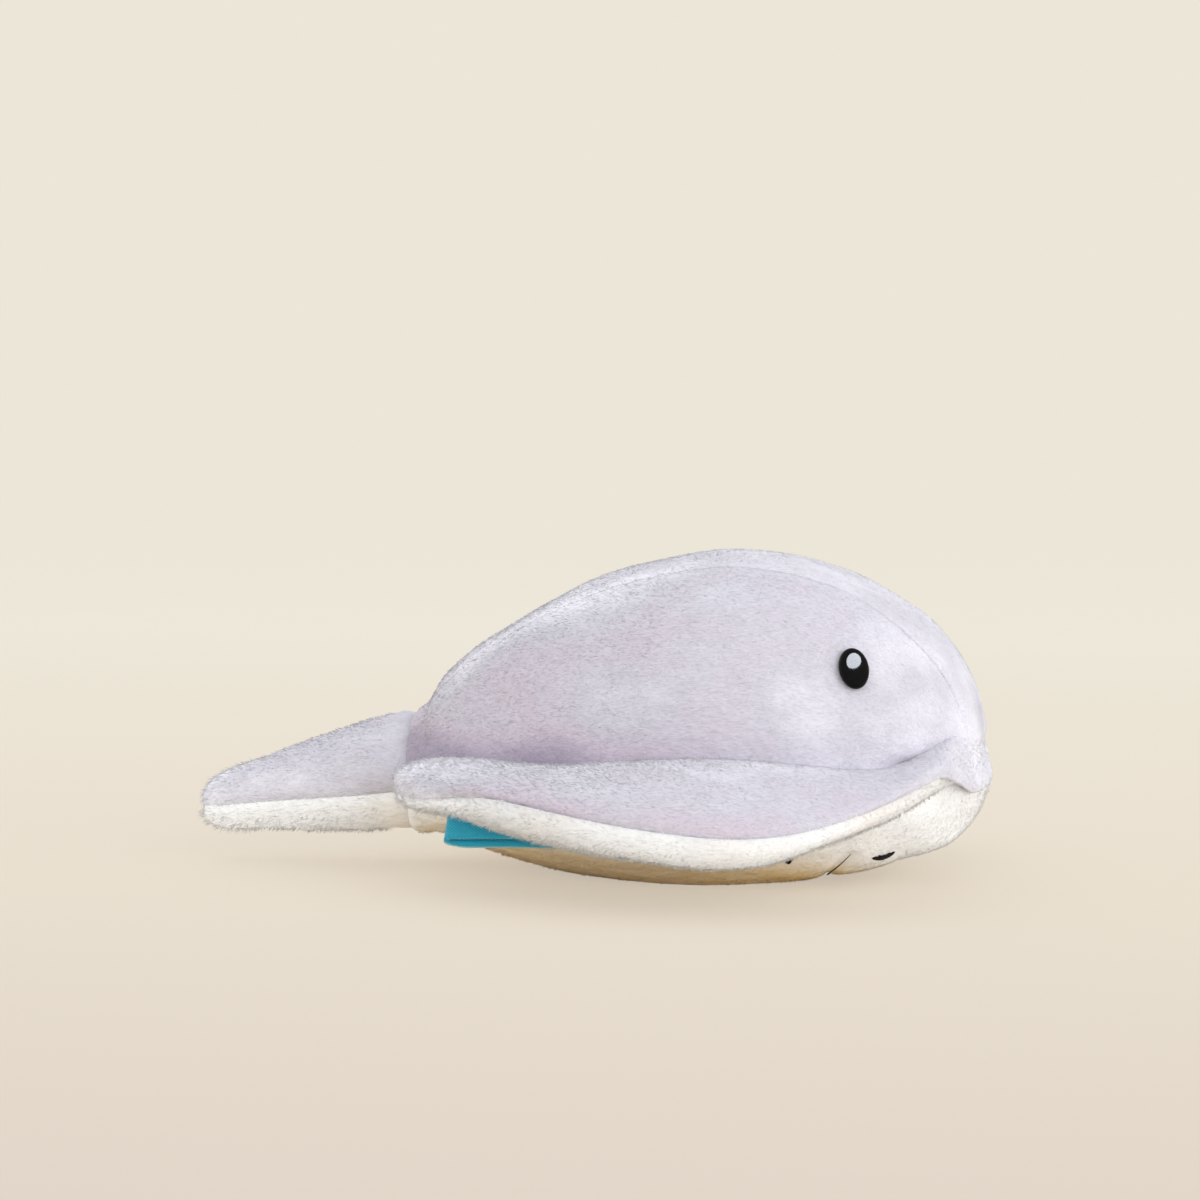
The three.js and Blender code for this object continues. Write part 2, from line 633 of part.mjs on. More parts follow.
function waistSeam() {
  const points = [];
  const steps = 40;
  const end = degrees(LOBE_END);
  for (let i = 0; i <= steps; i += 1) {
    const angle = ((i / steps) * 2 - 1) * end;
    const ahead = Math.cos(angle) >= 0;
    const power = 2 / (ahead ? WIDTH_ROUND.front : WIDTH_ROUND.rear);
    const reach = (ahead ? NOSE_REACH : TAIL_REACH) - FABRIC / 2;
    const x = APEX_X + reach * signedPower(Math.cos(angle), power);
    const { halfWidth } = bodyStation(x, FABRIC / 2);
    points.push(new THREE.Vector3(x, Math.sign(angle) * halfWidth, waistAt(x)));
  }
  return tube(points, THREAD, 40).intersect(bodyOutside).subtract(tailRoom);
}

function tailSeam() {
  const onBall = TAIL_ROOT_RADIUS + 3 * CLEARANCE + THREAD / 2;
  const radius = Math.sqrt(onBall ** 2 - TAIL_SEAM_AHEAD ** 2);
  const ring = new THREE.TorusGeometry(radius, THREAD / 2, TUBE_SIDES, 2 * TAIL_AROUND);
  ring.rotateY(Math.PI / 2);
  return solid(ring.translate(TAIL_SEAM_X, 0, tailJoint.z));
}

// Label: two layers of ribbon joined by a round fold at the free end
function labelShape() {
  const outer = LABEL_LOOP / 2 + LABEL_THICKNESS;
  const straight = LABEL_LENGTH - outer;
  const shape = new THREE.Shape();
  shape.moveTo(0, -outer);
  shape.lineTo(straight, -outer);
  shape.absarc(straight, 0, outer, -Math.PI / 2, Math.PI / 2);
  shape.lineTo(0, outer);
  shape.lineTo(0, LABEL_LOOP / 2);
  shape.lineTo(straight, LABEL_LOOP / 2);
  shape.absarc(straight, 0, LABEL_LOOP / 2, Math.PI / 2, -Math.PI / 2, true);
  shape.lineTo(0, -LABEL_LOOP / 2);
  shape.closePath();
  return shape;
}

function labelGeometry() {
  const ribbon = { depth: LABEL_WIDTH, bevelEnabled: false, curveSegments: 6 };
  return new THREE.ExtrudeGeometry(labelShape(), ribbon).translate(0, 0, -LABEL_WIDTH / 2);
}

// Where the label is sewn in, turned to hang back and outwards beside the belly
function labelFrame() {
  const tilt = degrees(LABEL_TILT);
  const { point } = bodySide(LABEL_X, LABEL_HEIGHT, SIDES.right);
  const stand = (LABEL_WIDTH / 2) * Math.sin(tilt) + LABEL_LOOP + LABEL_THICKNESS;
  const turn = new THREE.Euler(tilt, 0, Math.PI + degrees(LABEL_SPLAY), "ZYX");
  const frame = new THREE.Matrix4().makeRotationFromEuler(turn);
  return frame.setPosition(LABEL_X, point.y - stand, LABEL_HEIGHT);
}

// The dent that the label lies in, open to the side it swings to
function labelRoom() {
  const margin = 2 * CLEARANCE;
  const high = LABEL_LOOP / 2 + LABEL_THICKNESS + margin;
  const low = -LABEL_WIDTH;
  const half = LABEL_WIDTH / 2 + margin;
  const box = new THREE.BoxGeometry(LABEL_LENGTH + 2 * margin, high - low, 2 * half);
  box.translate(LABEL_LENGTH / 2, (high + low) / 2, 0);
  return solid(box.applyMatrix4(labelFrame()));
}

// Materials
const material = (color, roughness, metalness = 0) =>
  new THREE.MeshStandardMaterial({ color, roughness, metalness });
const finishes = {
  lavender: material(0xcdc8d4, 0.95),
  cream: material(0xf1ebe0, 0.95),
  filling: material(0xf7f7f5, 1),
  thread: material(0xb9adb9, 0.8),
  embroidery: material(0x161414, 0.6),
  eye: material(0x0a0a0c, 0.08),
  washer: material(0xe6e6e2, 0.5),
  label: material(0x12a3bb, 0.7),
};

function piece(name, geometry, finish) {
  const mesh = new THREE.Mesh(geometry, finishes[finish]);
  mesh.name = name;
  return mesh;
}

const cut = (name, made, finish) => piece(name, geometryOf(made), finish);

function makeBody() {
  const body = new THREE.Group();
  const skin = bodyOutside.subtract(bodyInside).subtract(tailRoom);
  const back = skin.intersect(aboveWaist(SEAM_GAP / 2));
  body.add(cut("gusset_panel", back.intersect(gussetStrip(-SEAM_GAP / 2)), "lavender"));
  const besideGusset = back.subtract(gussetStrip(SEAM_GAP / 2));
  let belly = skin.subtract(aboveWaist(-SEAM_GAP / 2));
  let filling = bodySolid(FABRIC + CLEARANCE).subtract(tailRoom);
  filling = filling.intersect(blockFrom(-FAR, -FAR, FABRIC + CLEARANCE, FAR, FAR, FAR));
  for (const [name, side] of Object.entries(SIDES)) {
    const panel = besideGusset.intersect(halfSpace(side, 0)).subtract(eyeHole(side));
    body.add(cut(`side_panel_${name}`, panel, "lavender"));
    filling = filling.subtract(eyePocket(side));
    for (const [part, made, finish] of [
      ["eye", eyeSolid(), "eye"],
      ["eye_washer", washerSolid(), "washer"],
    ]) {
      const mesh = cut(`${part}_${name}`, made, finish);
      mesh.applyMatrix4(eyeFrame(side));
      body.add(mesh);
    }
    body.add(cut(`gusset_seam_${name}`, gussetSeam(side), "thread"));
  }
  for (const [name, make] of Object.entries(stitches)) {
    belly = belly.subtract(make(2 * CLEARANCE));
    body.add(cut(name, make(0), "embroidery"));
  }
  body.add(cut("belly_panel", belly, "cream"));
  body.add(cut("body_filling", filling, "filling"));
  body.add(cut("waist_seam", waistSeam(), "thread"));
  body.add(cut("tail_seam", tailSeam(), "thread"));
  return body;
}

function makeCollar() {
  const collar = new THREE.Group();
  collar.add(cut("collar_top", fixedPart(discTop), "lavender"));
  const ahead = blockFrom(APEX_X, -FAR, -FAR, FAR, FAR, FAR);
  const noseSeam = edgeSeam().intersect(betweenHinges).intersect(ahead);
  collar.add(cut("nose_edge_seam", noseSeam, "thread"));
  for (const [name, side] of Object.entries(SIDES)) {
    const underside = fixedPart(discUnder).intersect(halfSpace(side, 0)).subtract(labelRoom());
    collar.add(cut(`collar_underside_${name}`, underside, "cream"));
    const beside = halfSpace(side, BODY_HALF_WIDTH / 2);
    const padding = fixedPart(discPadding).intersect(beside).subtract(labelRoom());
    collar.add(cut(`collar_filling_${name}`, padding, "filling"));
  }
  return collar;
}

function makeWing(name, side) {
  const wing = new THREE.Group();
  wing.add(cut(`wing_top_${name}`, wingPart(discTop, side), "lavender"));
  wing.add(cut(`wing_underside_${name}`, wingPart(discUnder, side), "cream"));
  wing.add(cut(`wing_filling_${name}`, wingPart(discPadding, side), "filling"));
  wing.add(cut(`wing_edge_seam_${name}`, wingPart(edgeSeam(), side), "thread"));
  return wing;
}

function makeTail() {
  const tail = new THREE.Group();
  const opening = neckCone(NECK_CONE + TAIL_SWING + FLAP_SPARE, 2 * TAIL_ROOT_RADIUS);
  const wad = ball(tailJoint, NECK_RADIUS).add(neckCone(NECK_CONE, TAIL_ROOT_RADIUS));
  const skin = tailOutside.subtract(tailSolid(FABRIC)).subtract(opening);
  tail.add(cut("tail_top", skin.intersect(aboveTailSeam(CLEARANCE / 2)), "lavender"));
  tail.add(cut("tail_underside", skin.subtract(aboveTailSeam(-CLEARANCE / 2)), "cream"));
  const room = ball(tailJoint, NECK_RADIUS + CLEARANCE).add(opening);
  tail.add(cut("tail_filling", tailSolid(FABRIC + CLEARANCE).subtract(room), "filling"));
  tail.add(cut("neck_filling", wad, "filling"));
  return tail;
}

const stingray = new THREE.Group();
stingray.name = "plush_stingray";
stingray.add(makeBody(), makeCollar(), makeTail());
for (const [name, side] of Object.entries(SIDES)) stingray.add(makeWing(name, side));
const label = piece("side_label", labelGeometry(), "label");
label.applyMatrix4(labelFrame());
stingray.add(label);

export default stingray;
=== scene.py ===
"""Plush stingray: detailed cloth pieces, materials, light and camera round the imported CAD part.

Millimetres inside the shape functions, metres in Blender. +X points to the nose, +Y to the toy's left.
"""

import math

import bpy
import numpy as np
from mathutils import Matrix, Vector


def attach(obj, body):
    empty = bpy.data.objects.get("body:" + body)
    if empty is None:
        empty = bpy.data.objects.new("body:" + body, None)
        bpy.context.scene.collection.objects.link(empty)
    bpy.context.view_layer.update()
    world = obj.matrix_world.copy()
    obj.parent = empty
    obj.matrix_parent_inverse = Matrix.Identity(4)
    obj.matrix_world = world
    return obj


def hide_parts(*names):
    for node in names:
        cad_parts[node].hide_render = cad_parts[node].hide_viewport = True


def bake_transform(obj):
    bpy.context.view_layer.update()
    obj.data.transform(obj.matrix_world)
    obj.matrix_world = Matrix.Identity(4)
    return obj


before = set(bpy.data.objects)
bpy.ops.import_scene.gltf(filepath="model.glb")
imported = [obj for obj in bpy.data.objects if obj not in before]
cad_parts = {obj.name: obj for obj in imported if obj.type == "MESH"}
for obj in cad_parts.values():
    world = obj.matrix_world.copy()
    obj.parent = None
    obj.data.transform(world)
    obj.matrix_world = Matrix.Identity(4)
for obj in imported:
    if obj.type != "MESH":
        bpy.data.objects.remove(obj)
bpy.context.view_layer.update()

MM = 0.001
SIDES = {"right": -1, "left": 1}

# The CAD part's own sizes
APEX_X = 5.0
NOSE_REACH = 58.5
TAIL_REACH = 78.0
BODY_HALF_WIDTH = 43.0
BACK_RISE = 48.5
BELLY_DEPTH = 27.0
BELLY_PRESS = 1.5
WAIST_SLOPE = 0.05
WIDTH_ROUND = (2.3, 1.8)
BACK_ROUND = (2.0, 1.7)
BELLY_ROUND = (2.8, 1.7)
BACK_SECTION = 2.3
BELLY_SECTION = 2.8
GUSSET_TAIL = 8.0
GUSSET_MIDDLE = 18.5
GUSSET_NOSE = 14.0
DISC_HALF_SPAN = 76.0
NOSE_BAND = 1.6
DISC_REAR = 79.0
DISC_ROUND = (2.1, 2.0)
DISC_TOP = (7.5, 2.6, 5.8, 5.0)  # at the nose, the shoulder, the side and the rear
DISC_UNDER = (6.8, 6.5, 10.5, 6.8)
DISC_NOSE = 8
DISC_SHOULDER = 46
DISC_TAIL = 150
DISC_SECTION = 2.6
SHOULDER_SINK = 1.4
NOSE_SINK = 1.6
NOSE_SINK_END = 24
WING_DROOP = 9.0
DROOP_CENTRE = math.radians(75)
DROOP_SPREAD = math.radians(56)
DISC_ROOT = 6.0
LOBE_START = math.radians(138)
LOBE_END = math.radians(164)
EDGE_SEAM_RISE = (-6.0, 0.0, -2.5)  # at the nose, the side and the rear
EDGE_SEAM_LOW = 13
EDGE_SEAM_NOSE = 29
EDGE_SEAM_REAR = 120
TAIL_JOINT_X = -71.5
TAIL_ROOT_RADIUS = 14.5
TAIL_LENGTH = 47.5
TAIL_TIP_HALF_HEIGHT = 7.0
TAIL_TIP_HALF_WIDTH = 6.5
TAIL_TIP_DROP = 9.0
TAIL_TIP_ROUND = 4.4
TAIL_SEAM_X = -67.0
TAIL_CREAM_DROP = 4.5
TAIL_CREAM_SLOPE = 0.1
EYE_X = APEX_X + 0.573 * NOSE_REACH
EYE_HEIGHT = 49.5
EYE_WIDTH = 6.8
EYE_TALL = 9.4
SMILE_X = APEX_X + 0.43 * NOSE_REACH
SMILE_HALF_WIDTH = 0.7 * BODY_HALF_WIDTH
SMILE_CURVE = 0.13 * NOSE_REACH
SMILE_BEND = 4
SMILE_STITCH = 0.5
NOSTRIL_X = APEX_X + 0.67 * NOSE_REACH
NOSTRIL_Y = 0.56 * BODY_HALF_WIDTH
NOSTRIL_LENGTH = 6.0
NOSTRIL_WIDTH = 1.1
NOSTRIL_SLANT = math.radians(27)
GILL_X = APEX_X + 0.338 * NOSE_REACH
GILL_Y = 0.8 * BODY_HALF_WIDTH
GILL_LENGTH = 2.0
GILL_WIDTH = 0.6
LABEL_ORIGIN = (-21.5, -42.973, 15.0)
LABEL_LENGTH = 28.0
LABEL_WIDTH = 9.0
LABEL_THICKNESS = 0.6
LABEL_LOOP = 1.2
LABEL_TILT = math.radians(45)
LABEL_SPLAY = math.radians(4)

# Cloth
GRID = 0.8  # spacing of the cloth's mesh
BACKING = 4  # the lining's mesh is this many times coarser
CLOTH = 3.0  # outer surface to lining
RIM_RADIUS = 15.1  # of the body where the tail is sewn on
RIM_LENGTH = 8.0
RIM_LENGTH_BELLY = 14.0
FLOOR_GAP = 0.05
TINY = 1e-9


# Number helpers
def signed_power(value, power):
    return np.sign(value) * np.abs(value) ** power


def fade(share, power):
    return np.maximum(0.0, 1 - np.minimum(1.0, share) ** power) ** (1 / power)


def smoothstep(value, start, end):
    t = np.clip((value - start) / (end - start), 0, 1)
    return t * t * (3 - 2 * t)


def bump(distance, width):
    return np.exp(-((distance / width) ** 2))


def layered(layers, **places):
    """The sum of layers: each an amount, and for some of the places the range over which it comes in.

    A place that is also given as ends has a second range there, over which the layer goes out again.
    """
    total = 0.0
    for amount, ranges in layers:
        for key, reach in ranges.items():
            amount = amount * smoothstep(places[key], *reach)
        total = total + amount
    return total


def split(points):
    """The x, y and z of points, each on its own."""
    return np.moveaxis(points, -1, 0)


def unit(vectors):
    return vectors / np.maximum(np.linalg.norm(vectors, axis=-1, keepdims=True), TINY)


def mirror(points, side):
    return points * np.array([1, side, 1])


def lattice(cell, seed):
    """A repeatable value from -1 to 1 for each whole-number cell."""
    mixed = cell[..., 0] * 73856093 ^ cell[..., 1] * 19349663 ^ cell[..., 2] * 83492791 ^ seed * 2654435761
    mixed = (mixed ^ (mixed >> 13)) * 1274126177 & 0xFFFFFFFF
    mixed = (mixed ^ (mixed >> 16)) & 0xFFFF
    return mixed / 32767.5 - 1


def noise(points, size, seed):
    """Smooth value noise, -1 to 1, with lumps of the given size (one number, or one for each axis)."""
    place = points / np.asarray(size, float)
    cell = np.floor(place).astype(np.int64)
    part = place - cell
    part = part**3 * (part * (part * 6 - 15) + 10)
    total = np.zeros(points.shape[:-1])
    for corner in np.ndindex(2, 2, 2):
        weight = np.prod(np.where(np.array(corner), part, 1 - part), axis=-1)
        total += weight * lattice(cell + np.array(corner), seed)
    return total


def lengths(rows, axis):
    """Distance along a grid's rows or columns, from the first point."""
    steps = np.linalg.norm(np.diff(rows, axis=axis), axis=-1)
    start = np.zeros_like(np.take(steps, [0], axis=axis))
    return np.concatenate([start, np.cumsum(steps, axis=axis)], axis=axis)


def to_border(rows):
    """Distance along each row to the nearer of its ends."""
    across = lengths(rows, 1)
    return np.minimum(across, across[:, -1:] - across)


def points_along(line, wanted):
    """Points at the wanted distances along a line of points."""
    along = lengths(line, 0)
    return np.stack([np.interp(wanted, along, line[:, k]) for k in range(3)], axis=1)


def resample(line, count):
    """Points at even steps along a line of points."""
    return points_along(line, np.linspace(0, lengths(line, 0)[-1], count))


def grid_count(length):
    """How many points a length needs, in whole steps of the lining's mesh."""
    return BACKING * max(2, math.ceil(length / (GRID * BACKING))) + 1


def enlarged(values, shape):
    """A coarse grid of values spread over a finer grid, and smoothed."""
    fine = values
    for axis, count in enumerate(shape):
        known = np.arange(fine.shape[axis])
        wanted = np.linspace(0, known[-1], count)
        fine = np.apply_along_axis(lambda line: np.interp(wanted, known, line), axis, fine)
    kernel = np.ones(2 * BACKING + 1) / (2 * BACKING + 1)
    for axis in (0, 1):
        padded = np.pad(fine, [(BACKING, BACKING) if k == axis else (0, 0) for k in (0, 1)], "edge")
        fine = np.apply_along_axis(np.convolve, axis, padded, kernel, "valid")
    return fine


# Body
def waist_at(x):
    return BELLY_DEPTH - BELLY_PRESS + WAIST_SLOPE * (x - APEX_X)


def body_station(x):
    """The body's half width, rise and depth at a place along it."""
    ahead = x >= APEX_X
    share = np.abs(x - APEX_X) / np.where(ahead, NOSE_REACH, TAIL_REACH)
    sizes = []
    for size, powers, length in (
        (BODY_HALF_WIDTH, WIDTH_ROUND, RIM_LENGTH),
        (BACK_RISE, BACK_ROUND, RIM_LENGTH),
        (BELLY_DEPTH, BELLY_ROUND, RIM_LENGTH_BELLY),
    ):
        rim = smoothstep(x, TAIL_SEAM_X + length, TAIL_SEAM_X)
        full = size * fade(share, np.where(ahead, *powers))
        sizes.append(full + (RIM_RADIUS - full) * rim)
    return sizes


def gusset_turn(x):
    """How far round the back's section the strip's seam lies, from the waist."""
    ahead = x >= APEX_X
    share = (x - APEX_X) / np.where(ahead, NOSE_REACH, TAIL_REACH)
    end = np.where(ahead, GUSSET_NOSE, GUSSET_TAIL)
    strip = GUSSET_MIDDLE + (end - GUSSET_MIDDLE) * share**4
    across = np.minimum(1.0, strip / np.maximum(body_station(x)[0], 1e-6))
    return np.arccos(across ** (BACK_SECTION / 2))


def section_point(x, turn, half_width, reach, power):
    y = half_width * signed_power(np.cos(turn), 2 / power)
    z = waist_at(x) + reach * signed_power(np.sin(turn), 2 / power)
    return np.stack(np.broadcast_arrays(x, y, z), axis=-1)


def back_point(x, turn):
    half_width, rise, _ = body_station(x)
    return section_point(x, turn, half_width, rise, BACK_SECTION)


def belly_point(x, turn):
    half_width, _, depth = body_station(x)
    return section_point(x, turn, half_width, -depth, BELLY_SECTION)


def belly_height(x, y):
    half_width, _, depth = body_station(x)
    return waist_at(x) - depth * fade(np.abs(y) / half_width, BELLY_SECTION)


def stations(start, end, point):
    """Places from start to end that are evenly spaced along the line that point() draws."""
    fine = np.linspace(0, 1, 2000)
    eased = start + (end - start) * (1 - np.cos(fine * math.pi)) / 2
    along = lengths(point(eased), 0)
    wanted = np.linspace(0, along[-1], grid_count(along[-1]))
    return np.interp(wanted, along, eased)


def section_rows(places, point, first, last):
    """A grid of points: one evenly spaced row for each place, between two turns."""
    fine = [point(p, np.linspace(first(p), last(p), 240)) for p in places]
    count = grid_count(max(lengths(row, 0)[-1] for row in fine))
    return np.stack([resample(row, count) for row in fine])


def normals_of(rows):
    return unit(np.cross(np.gradient(rows, axis=0), np.gradient(rows, axis=1)))


# The cloth's unevenness: height, size of the lumps and seed
STUFFING = ((0.4, 21, 3), (0.16, 8.5, 7))
NAP = ((0.14, (4.6, 2.4, 2.4), 11), (0.1, (2.4, 1.25, 1.25), 17))
FRONT_X = (-25, 40)
TIP_X = (-103, -114)


def uneven(points, layers):
    return sum(height * noise(points, size, seed) for height, size, seed in layers)


def to_front(points):
    """0 on the rear half, rising to 1 at the front, where the pile lies smoother."""
    return smoothstep(points[..., 0], *FRONT_X)


def to_tip(points):
    """1 at the tail's tip, where the pile stands longer."""
    return smoothstep(points[..., 0], *TIP_X)


def nap(points):
    """The pile's own unevenness, combed back along the toy."""
    return uneven(points, NAP) * (1 - 0.5 * to_front(points))


# Meshes
def new_object(name, points, faces, material, uvs=None, tone_and_painted_light=None):
    """A mesh object from points in millimetres and faces of vertex numbers, with a UV for each corner."""
    sizes = np.array([len(face) for face in faces])
    corners = np.concatenate([np.asarray(face) for face in faces])
    starts = np.concatenate([[0], np.cumsum(sizes)[:-1]])
    mesh = bpy.data.meshes.new(name)
    mesh.vertices.add(len(points))
    mesh.vertices.foreach_set("co", (np.asarray(points) * MM).astype(np.float32).ravel())
    mesh.loops.add(len(corners))
    mesh.loops.foreach_set("vertex_index", corners.astype(np.int32))
    mesh.polygons.add(len(sizes))
    mesh.polygons.foreach_set("loop_start", starts.astype(np.int32))
    mesh.polygons.foreach_set("loop_total", sizes.astype(np.int32))
    mesh.polygons.foreach_set("use_smooth", np.ones(len(sizes), bool))
    if uvs is not None:
        layer = mesh.uv_layers.new(name="OFBake")
        layer.data.foreach_set("uv", np.asarray(uvs, np.float32).ravel())
    if tone_and_painted_light is not None:
        attribute = mesh.attributes.new("tone_and_painted_light", "FLOAT", "POINT")
        attribute.data.foreach_set("value", np.asarray(tone_and_painted_light, np.float32).ravel())
    mesh.update(calc_edges=True)
    mesh.validate()
    mesh.materials.append(material)
    made = bpy.data.objects.new(name, mesh)
    bpy.context.scene.collection.objects.link(made)
    return made


def numbered(grid):
    """The number of each point of a grid."""
    return np.arange(grid[..., 0].size).reshape(grid.shape[:2])


def boundary(grid):
    """What lies round the edge of a grid, in order, without the last that meets the first."""
    return np.concatenate([grid[:-1, 0], grid[-1, :-1], grid[:0:-1, -1], grid[0, :0:-1]])


def quads(grid):
    return np.stack([grid[:-1, :-1], grid[1:, :-1], grid[1:, 1:], grid[:-1, 1:]], axis=-1).reshape(-1, 4)


UV_ACROSS = (0.004, 0.996)
UV_OUTER = (0.004, 0.90)
UV_LINING = (0.925, 0.965)
UV_RIM = (0.98, 0.996)


def grid_uv(grid, up):
    """UVs for a grid of points, in a band of the map."""
    u = np.linspace(*UV_ACROSS, grid.shape[0])
    v = np.linspace(*up, grid.shape[1])
    return np.stack(np.meshgrid(u, v, indexing="ij"), axis=-1).reshape(-1, 2)


def cloth_object(name, outer, lining, material, tone_and_painted_light):
    """A closed piece of cloth: a fine outer grid, a coarse lining behind it, and the edge between them."""
    inner = lining[::BACKING, ::BACKING]
    outer_ids = numbered(outer)
    inner_ids = outer_ids.size + numbered(inner)
    points = np.concatenate([outer.reshape(-1, 3), inner.reshape(-1, 3)])
    place = np.concatenate([grid_uv(outer, UV_OUTER), grid_uv(inner, UV_LINING)])
    sheets = np.concatenate([quads(outer_ids), quads(inner_ids)[:, ::-1]])
    outer_edge = boundary(outer_ids)
    inner_edge = boundary(inner_ids)
    step = np.arange(len(outer_edge))
    stop = np.arange(len(inner_edge))
    half = BACKING // 2
    nearest = (step + half) // BACKING
    fans = [np.roll(outer_edge, -1), outer_edge, inner_edge[nearest % len(stop)]]
    gaps = [outer_edge[half::BACKING], inner_edge, np.roll(inner_edge, -1)]
    rim = np.concatenate([np.stack(fans, axis=1), np.stack(gaps, axis=1)])
    fan_u = np.stack([step + 1, step, nearest * BACKING], axis=1)
    gap_u = stop[:, None] * BACKING + np.array([half, 0, BACKING])
    low, high = UV_RIM
    rim_u = np.interp(np.concatenate([fan_u, gap_u]), [0, len(step)], UV_ACROSS)
    rim_v = np.repeat([[low, low, high], [low, high, high]], [len(step), len(stop)], axis=0)
    rim_uv = np.stack([rim_u, rim_v], axis=-1).reshape(-1, 2)
    uvs = np.concatenate([place[sheets.ravel()], rim_uv])
    shades = np.concatenate([tone_and_painted_light.ravel(), np.zeros(inner_ids.size)])
    return new_object(name, points, [*sheets, *rim], material, uvs, shades)


def outward_step(rows, centre):
    """1 if a grid's normals point away from a centre, -1 if its columns have to be turned round."""
    return 1 if np.sum(normals_of(rows) * (rows - centre)) > 0 else -1


def puffed(rows, height):
    return rows + normals_of(rows) * height[..., None]


def mirrored_grids(side, points, *values):
    """A left grid and its values for either side, turned round on the right to face outwards there too."""
    return [grid[:, ::side] for grid in (mirror(points, side), *values)]


def ring_faces(count, around):
    """Faces of a row of rings, closed at both ends."""
    ids = np.arange(count * around).reshape(count, around)
    walls = quads(np.concatenate([ids, ids[:, :1]], axis=1))
    return [*walls, ids[0], ids[-1][::-1]]


THREAD_SIDES = 6
THREAD_END = 0.35  # share of the radius left at a thread's ends


def tube(points, radius):
    """A closed round thread along points: its vertices and faces."""
    along = unit(np.gradient(points, axis=0))
    helper = np.where(np.abs(along[:, 2:]) > 0.9, [[1.0, 0, 0]], [[0, 0, 1.0]])
    first = unit(np.cross(along, helper))
    second = np.cross(along, first)
    turn = np.linspace(0, 2 * math.pi, THREAD_SIDES, endpoint=False)[:, None]
    ring = np.cos(turn) * first[:, None] + np.sin(turn) * second[:, None]
    rings = points[:, None] + ring * radius[:, None, None]
    faces = [face[::-1] for face in ring_faces(len(points), THREAD_SIDES)]
    return rings.reshape(-1, 3), faces


def threads_object(name, paths, radius, material):
    """Several closed threads as one object, with ends drawn in."""
    points = []
    faces = []
    for path in paths:
        share = np.linspace(-1, 1, len(path))
        round_ends = radius * np.maximum(THREAD_END, (1 - share**8) ** 0.5)
        made, made_faces = tube(path, round_ends)
        start = sum(len(p) for p in points)
        faces += [face + start for face in made_faces]
        points.append(made)
    return new_object(name, np.concatenate(points), faces, material)


# Materials
def srgb(red, green, blue):
    """A colour as a screen shows it, 0 to 255, in the renderer's linear numbers."""
    shown = [c / 255 for c in (red, green, blue)]
    return tuple(c / 12.92 if c <= 0.04045 else ((c + 0.055) / 1.055) ** 2.4 for c in shown) + (1.0,)


def grey(level):
    return (level, level, level, 1.0)


class Nodes:
    """Adds and links the shader nodes of a material or a world."""

    def __init__(self, owner):
        self.owner = owner
        owner.use_nodes = True
        self.tree = owner.node_tree
        self.shader = self.tree.nodes.get("Principled BSDF")

    def feed(self, socket, value):
        """Links a socket to another node's output, or gives it a value."""
        if isinstance(value, bpy.types.NodeSocket):
            self.tree.links.new(value, socket)
        else:
            socket.default_value = value

    def add(self, kind, feeds, **settings):
        node = self.tree.nodes.new(kind)
        for key, value in settings.items():
            setattr(node, key, value)
        for key, value in feeds.items():
            self.feed(node.inputs[key], value)
        return node

    def set(self, **values):
        """Feeds the main shader; an underscore stands for the space in a socket's name."""
        for key, value in values.items():
            self.feed(self.shader.inputs[key.replace("_", " ")], value)

    def show(self, output, shader):
        self.feed(self.tree.nodes[output].inputs["Surface"], shader)

    def place(self):
        return self.add("ShaderNodeTexCoord", {}).outputs["Object"]

    def scaled(self, sizes):
        """Object coordinates in millimetres, divided by a size for each axis."""
        feeds = {"Scale": [1 / (MM * size) for size in sizes], "Vector": self.place()}
        return self.add("ShaderNodeMapping", feeds).outputs["Vector"]

    def noise(self, sizes, detail=2.0, roughness=0.5, distortion=0.0):
        feeds = {"Scale": 1.0, "Detail": detail, "Roughness": roughness, "Distortion": distortion}
        return self.add("ShaderNodeTexNoise", feeds | {"Vector": self.scaled(sizes)}).outputs["Fac"]

    def attribute(self, name):
        return self.add("ShaderNodeAttribute", {}, attribute_name=name).outputs["Fac"]

    def ramp(self, value, stops):
        node = self.add("ShaderNodeValToRGB", {"Fac": value})
        elements = node.color_ramp.elements
        while len(elements) < len(stops):
            elements.new(0.5)
        for element, (position, colour) in zip(elements, stops):
            element.position = position
            element.color = colour
        return node.outputs["Color"]

    def mix(self, blend, factor, first, second):
        feeds = {0: factor, 6: first, 7: second}
        return self.add("ShaderNodeMix", feeds, data_type="RGBA", blend_type=blend).outputs[2]

    def math(self, operation, first, second):
        return self.add("ShaderNodeMath", {0: first, 1: second}, operation=operation).outputs[0]

    def between(self, value, low, high, **settings):
        """0 where a value is low, 1 where it is high."""
        feeds = {"Value": value, "From Min": low, "From Max": high}
        return self.add("ShaderNodeMapRange", feeds, **settings).outputs["Result"]

    def distance(self, centre):
        feeds = {0: self.place(), 1: centre}
        return self.add("ShaderNodeVectorMath", feeds, operation="DISTANCE").outputs["Value"]

    def bump(self, height, strength, distance):
        feeds = {"Height": height, "Strength": strength, "Distance": distance * MM}
        self.set(Normal=self.add("ShaderNodeBump", feeds).outputs["Normal"])

    def blend(self, factor, first, second):
        return self.add("ShaderNodeMixShader", {0: factor, 1: first, 2: second}).outputs["Shader"]

    def seen(self):
        """1 for the rays that show a thing itself, 0 for those that carry its light."""
        path = self.add("ShaderNodeLightPath", {}).outputs
        direct = self.math("MAXIMUM", path["Is Camera Ray"], path["Is Glossy Ray"])
        return self.math("MAXIMUM", direct, path["Is Transmission Ray"])


STRAND = (1.5, 0.42, 0.42)  # sizes of the pile's strands, tufts and brushed patches
TUFT = (4.0, 1.5, 1.5)
PATCH = (24.0, 14.0, 14.0)
TWIST = (0.5, 0.18, 0.18)  # of a sewing thread


